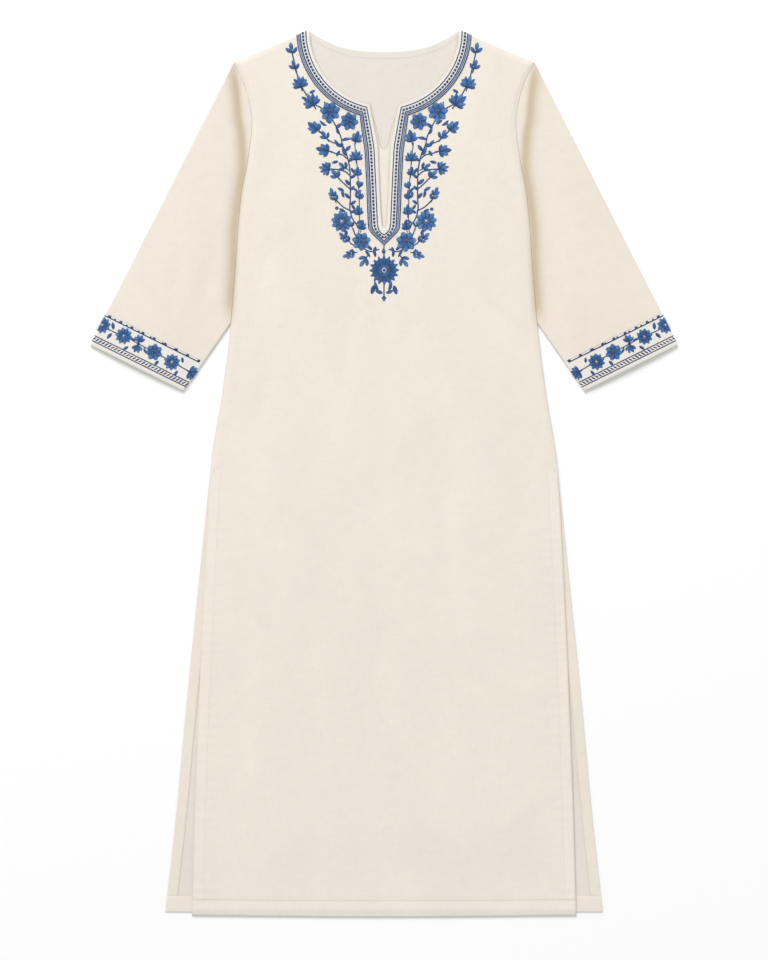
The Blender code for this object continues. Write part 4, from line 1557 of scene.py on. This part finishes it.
def cuff_place(side):
    """Puts a point of the border, x along and y up, on the cuff, and carries it round the folds."""
    radius = SLEEVE_HEIGHT / 2

    def place(x, y, rise):
        start, end = np.array(up_from_cuff(0.0, y)), np.array(up_from_cuff(1.0, y))
        width = np.hypot(*(end - start))
        near = np.minimum(x, width - x)
        turn = np.clip((radius - near) / radius, 0, 2.2)
        inset = np.where(turn > 0, radius - (radius + rise) * np.sin(turn), near)
        share = np.where(x < width / 2, inset, width - inset) / width
        px, py = up_from_cuff(share, y)
        lift = sleeve_rise(px, py, share, side) * np.cos(np.minimum(turn, math.pi / 2))
        return side * px, py, radius + (radius + rise + lift) * np.cos(turn)

    return place


def level_line(height, start=0.0):
    """A line along the cuff, height above its edge."""
    return refined(np.array([(start, height), (CUFF_WIDTH, height)]) * MM, 3.0 * MM)


def make_cuff_stitches():
    material = band_thread()
    dark = stitch("cuff_line", 2.9, 1.75, Tones(0.04, 0.08))
    top = stitch("cuff_top_line", 3.0, 1.9, Tones(0.04, 0.10), height=0.8)
    dash = stitch("cuff_dash", 6.4, 2.3, Tones(0.0, 0.06), degrees=52)
    knot = stitch("cuff_knot", 5.0, 4.6, Tones(0.14, 0.26), blunt=0.6, height=0.8)
    small = stitch("cuff_small_knot", 3.2, 3.0, Tones(0.12, 0.2), blunt=0.6, height=0.8)
    stem = stitch("cuff_stem", 3.6, 1.8, STEM)
    runs = (
        # lines, stitch, pitch, turn, unevenness
        ([level_line(y) for y in LADDER], dark, 2.1 * MM, 0.05, 0.06),
        ([level_line(sum(LADDER) / 2, 1.5)], dash, 4.7 * MM, 0.0, 0.12),
        ([level_line(TOP_LINE)], top, 2.2 * MM, 0.05, 0.06),
        ([level_line(TOP_LINE + 1.4, 7.0)], knot, 17.0 * MM, 0.0, 0.06),
        ([level_line(TOP_LINE + 1.0, 15.5)], small, 17.0 * MM, 0.0, 0.06),
        ([smooth_line(CUFF_VINE)], stem, STEM_PITCH, 0.15, 0.06),
    )
    for side in (LEFT, RIGHT):
        seed = 30 + side
        meshes = set_out(CUFF_MOTIFS, material, seed)
        for lines, made, pitch, turn, unevenness in runs:
            meshes.append(run_of(lines, made, pitch, material, turn, unevenness, seed))
        piece = gathered(f"cuff_embroidery_{WORDS[side]}", meshes, cuff_place(side))
        faced_up(piece.data)
        sewn_on(piece)


# ---- cream stitches of the hems and slits ----

STITCH_LIFT = 0.12 * MM                   # keeps them clear of the cloth between its points


def make_plain_stitches():
    colour = bpy.context.scene.kurta.thread.cream
    material = thread("Cream thread", ((0.0, colour), (1.0, colour)), gloss=0.3)
    running = stitch("running_stitch", 2.1, 0.55, Tones(0.5, 0.5), height=0.22)
    tack = stitch("bar_tack", 5.0, 1.0, Tones(0.5, 0.5), height=0.5, degrees=90)
    share = np.linspace(-1, 1, 121)
    y = -HALF_LENGTH + BOTTOM_HEM + HEM_BOW * share**2 + 0.8 * MM
    meshes = [run_of([np.stack([share * (side_x(y) - SEAM), y], 1)], running, 2.9 * MM, material)]
    y = np.linspace(-HALF_LENGTH + BOTTOM_HEM + 3 * MM, SIDE_SLIT_Y, 121)
    for side in (LEFT, RIGHT):
        line = np.stack([side * (side_x(y) - SLIT_HEM), y], 1)
        meshes.append(run_of([line], running, 2.9 * MM, material))
        top = np.array([[side * (side_x(SIDE_SLIT_Y) - 5 * MM), SIDE_SLIT_Y + i * MM] for i in (0, 1)])
        meshes.append(run_of([top], tack, 1.0 * MM, material, turn=math.pi / 2))
    piece = gathered("hem_stitches", meshes, laid_on(lambda x, y: front_top(x, y) + STITCH_LIFT))
    sewn_on(piece)


# ---- settings ----

def colour_setting(name, description, default):
    return FloatVectorProperty(
        name=name, description=description, subtype="COLOR", default=default, size=3, min=0, max=1
    )


class KurtaColours(bpy.types.PropertyGroup):
    cream: colour_setting("Cream", "Colour of the cotton's right side", (0.836, 0.772, 0.681))
    inside: colour_setting("Inside", "Colour of the back panel and its neck facing", (0.775, 0.728, 0.660))
    border: colour_setting("Border", "Colour of the cloth under the borders", (0.835, 0.805, 0.755))


class KurtaThread(bpy.types.PropertyGroup):
    navy: colour_setting("Navy", "The darkest thread", (0.012, 0.028, 0.095))
    deep: colour_setting("Deep blue", "The main dark blue thread", (0.028, 0.108, 0.305))
    mid: colour_setting("Middle blue", "The light end of the petals", (0.090, 0.240, 0.500))
    pale: colour_setting("Pale blue", "The band's pale filling", (0.600, 0.700, 0.850))
    cream: colour_setting("Cream thread", "The sewing thread of the hems", (0.800, 0.730, 0.630))


class KurtaStage(bpy.types.PropertyGroup):
    floor: colour_setting("Floor", "Colour of the floor", (0.97, 0.97, 0.97))
    camera_height: FloatProperty(
        name="Camera height", description="Height of the camera above the surface",
        default=3.6, min=1, max=10, unit="LENGTH")
    view_height: FloatProperty(
        name="View height", description="How much of the surface the view holds, top to bottom",
        default=1.344, min=0.5, max=3, unit="LENGTH")
    key_power: FloatProperty(
        name="Key power", description="Power of the large soft light beyond the collar",
        default=860.0, min=0, max=9000, unit="POWER")
    sky: FloatProperty(
        name="Sky", description="Brightness of the even light from all round", default=0.635, min=0, max=5)


class KurtaSettings(bpy.types.PropertyGroup):
    colours: PointerProperty(type=KurtaColours)
    thread: PointerProperty(type=KurtaThread)
    stage: PointerProperty(type=KurtaStage)


def cream():
    return cotton("Cream cotton", bpy.context.scene.kurta.colours.cream)


def inside_cotton():
    return cotton("Cream cotton, inside", bpy.context.scene.kurta.colours.inside)


def border_cotton():
    return cotton("Border cotton", bpy.context.scene.kurta.colours.border, slub=0.25, wrinkle=0.5)


# ---- operators ----

class KURTA_OT_back(bpy.types.Operator):
    """Makes the back panel and the facing inside its neck"""
    bl_idname = "kurta.back"
    bl_label = "Back"

    def execute(self, context):
        make_back(inside_cotton())
        make_facing(inside_cotton())
        return {"FINISHED"}


class KURTA_OT_front(bpy.types.Operator):
    """Makes the front panel and the strip behind its slit"""
    bl_idname = "kurta.front"
    bl_label = "Front"

    def execute(self, context):
        make_front(cream())
        make_placket(cream())
        return {"FINISHED"}


class KURTA_OT_hems(bpy.types.Operator):
    """Makes the turned edges of the hems and side slits"""
    bl_idname = "kurta.hems"
    bl_label = "Hems"

    def execute(self, context):
        make_hems(cream())
        return {"FINISHED"}


class KURTA_OT_sleeves(bpy.types.Operator):
    """Makes both sleeves and their cuff bands"""
    bl_idname = "kurta.sleeves"
    bl_label = "Sleeves and cuffs"

    def execute(self, context):
        make_sleeves(cream(), border_cotton())
        return {"FINISHED"}


class KURTA_OT_neck_band(bpy.types.Operator):
    """Makes the cloth of the band round the neck and slit"""
    bl_idname = "kurta.neck_band"
    bl_label = "Neck band"

    def execute(self, context):
        make_neck_band(border_cotton())
        return {"FINISHED"}


class KURTA_OT_band_stitches(bpy.types.Operator):
    """Makes the lines and dots stitched round the neck band"""
    bl_idname = "kurta.band_stitches"
    bl_label = "Neck band stitches"

    def execute(self, context):
        make_band_stitches()
        return {"FINISHED"}


class KURTA_OT_yoke(bpy.types.Operator):
    """Makes the flowers and vines embroidered round the neck and slit"""
    bl_idname = "kurta.yoke"
    bl_label = "Yoke flowers"

    def execute(self, context):
        make_yoke()
        return {"FINISHED"}


class KURTA_OT_cuff_stitches(bpy.types.Operator):
    """Makes the embroidered border of each cuff"""
    bl_idname = "kurta.cuff_stitches"
    bl_label = "Cuff borders"

    def execute(self, context):
        make_cuff_stitches()
        return {"FINISHED"}


class KURTA_OT_plain_stitches(bpy.types.Operator):
    """Makes the cream stitches of the hems and slits"""
    bl_idname = "kurta.plain_stitches"
    bl_label = "Hem stitches"

    def execute(self, context):
        make_plain_stitches()
        return {"FINISHED"}


FLOOR_HALF = 6.0
FLOOR_DROP = 0.1 * MM                     # keeps the floor clear of the back panel's underside
KEY_SIZE = (6.5, 5.2)
KEY_PLACE = (-2.4, 8.2, 7.0)              # it points at the origin
CAMERA_Y = -8.4 * MM


class KURTA_OT_stage(bpy.types.Operator):
    """Makes the floor, the soft lights and the camera straight above"""
    bl_idname = "kurta.stage"
    bl_label = "Stage"

    def execute(self, context):
        stage = context.scene.kurta.stage
        mesh = bpy.data.meshes.new("floor")
        made = bmesh.new()
        bmesh.ops.create_grid(made, x_segments=1, y_segments=1, size=FLOOR_HALF)
        made.to_mesh(mesh)
        made.free()
        floor = bpy.data.objects.new("floor", mesh)
        context.scene.collection.objects.link(floor)
        floor.location.z = -FLOOR_DROP
        paper, _, shader = new_material("Floor", 0.9, 0.5, 0.0)
        shader.inputs["Base Color"].default_value = (*stage.floor, 1)
        mesh.materials.append(paper)

        world = bpy.data.worlds.new("Soft sky")
        world.use_nodes = True
        background = world.node_tree.nodes["Background"]
        background.inputs["Color"].default_value = (1, 1, 1, 1)
        background.inputs["Strength"].default_value = stage.sky
        context.scene.world = world

        key = bpy.data.lights.new("key", "AREA")
        key.shape = "RECTANGLE"
        key.size, key.size_y = KEY_SIZE
        key.energy = stage.key_power
        lamp = bpy.data.objects.new("key", key)
        lamp.location = KEY_PLACE
        lamp.rotation_mode = "QUATERNION"
        lamp.rotation_quaternion = Vector(KEY_PLACE).to_track_quat("Z", "Y")
        context.scene.collection.objects.link(lamp)

        camera = bpy.data.cameras.new("camera")
        camera.sensor_fit = "VERTICAL"
        camera.sensor_height = 36.0
        camera.lens = camera.sensor_height * stage.camera_height / stage.view_height
        holder = bpy.data.objects.new("camera", camera)
        holder.location = (0, CAMERA_Y, stage.camera_height)
        context.scene.collection.objects.link(holder)
        context.scene.camera = holder
        context.scene.view_settings.view_transform = "Standard"
        return {"FINISHED"}


STEPS = (
    KURTA_OT_band_stitches,
    KURTA_OT_yoke,
    KURTA_OT_cuff_stitches,
    KURTA_OT_plain_stitches,
    KURTA_OT_back,
    KURTA_OT_front,
    KURTA_OT_hems,
    KURTA_OT_sleeves,
    KURTA_OT_neck_band,
    KURTA_OT_stage,
)


class KURTA_PT_panel(bpy.types.Panel):
    bl_label = "Kurta"
    bl_idname = "KURTA_PT_panel"
    bl_space_type = "VIEW_3D"
    bl_region_type = "UI"
    bl_category = "Kurta"

    def draw(self, context):
        settings = context.scene.kurta
        for group in (settings.colours, settings.thread, settings.stage):
            box = self.layout.box()
            for name in group.bl_rna.properties.keys():
                if name not in ("rna_type", "name"):
                    box.prop(group, name)
        for step in STEPS:
            self.layout.operator(step.bl_idname)


CLASSES = (KurtaColours, KurtaThread, KurtaStage, KurtaSettings, *STEPS, KURTA_PT_panel)


def register():
    for made in CLASSES:
        bpy.utils.register_class(made)
    bpy.types.Scene.kurta = PointerProperty(type=KurtaSettings)


def unregister():
    del bpy.types.Scene.kurta
    for made in reversed(CLASSES):
        bpy.utils.unregister_class(made)


def main():
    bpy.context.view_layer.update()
    register()
    for step in STEPS:
        group, name = step.bl_idname.split(".")
        getattr(getattr(bpy.ops, group), name)()


if __name__ == "__main__":
    main()
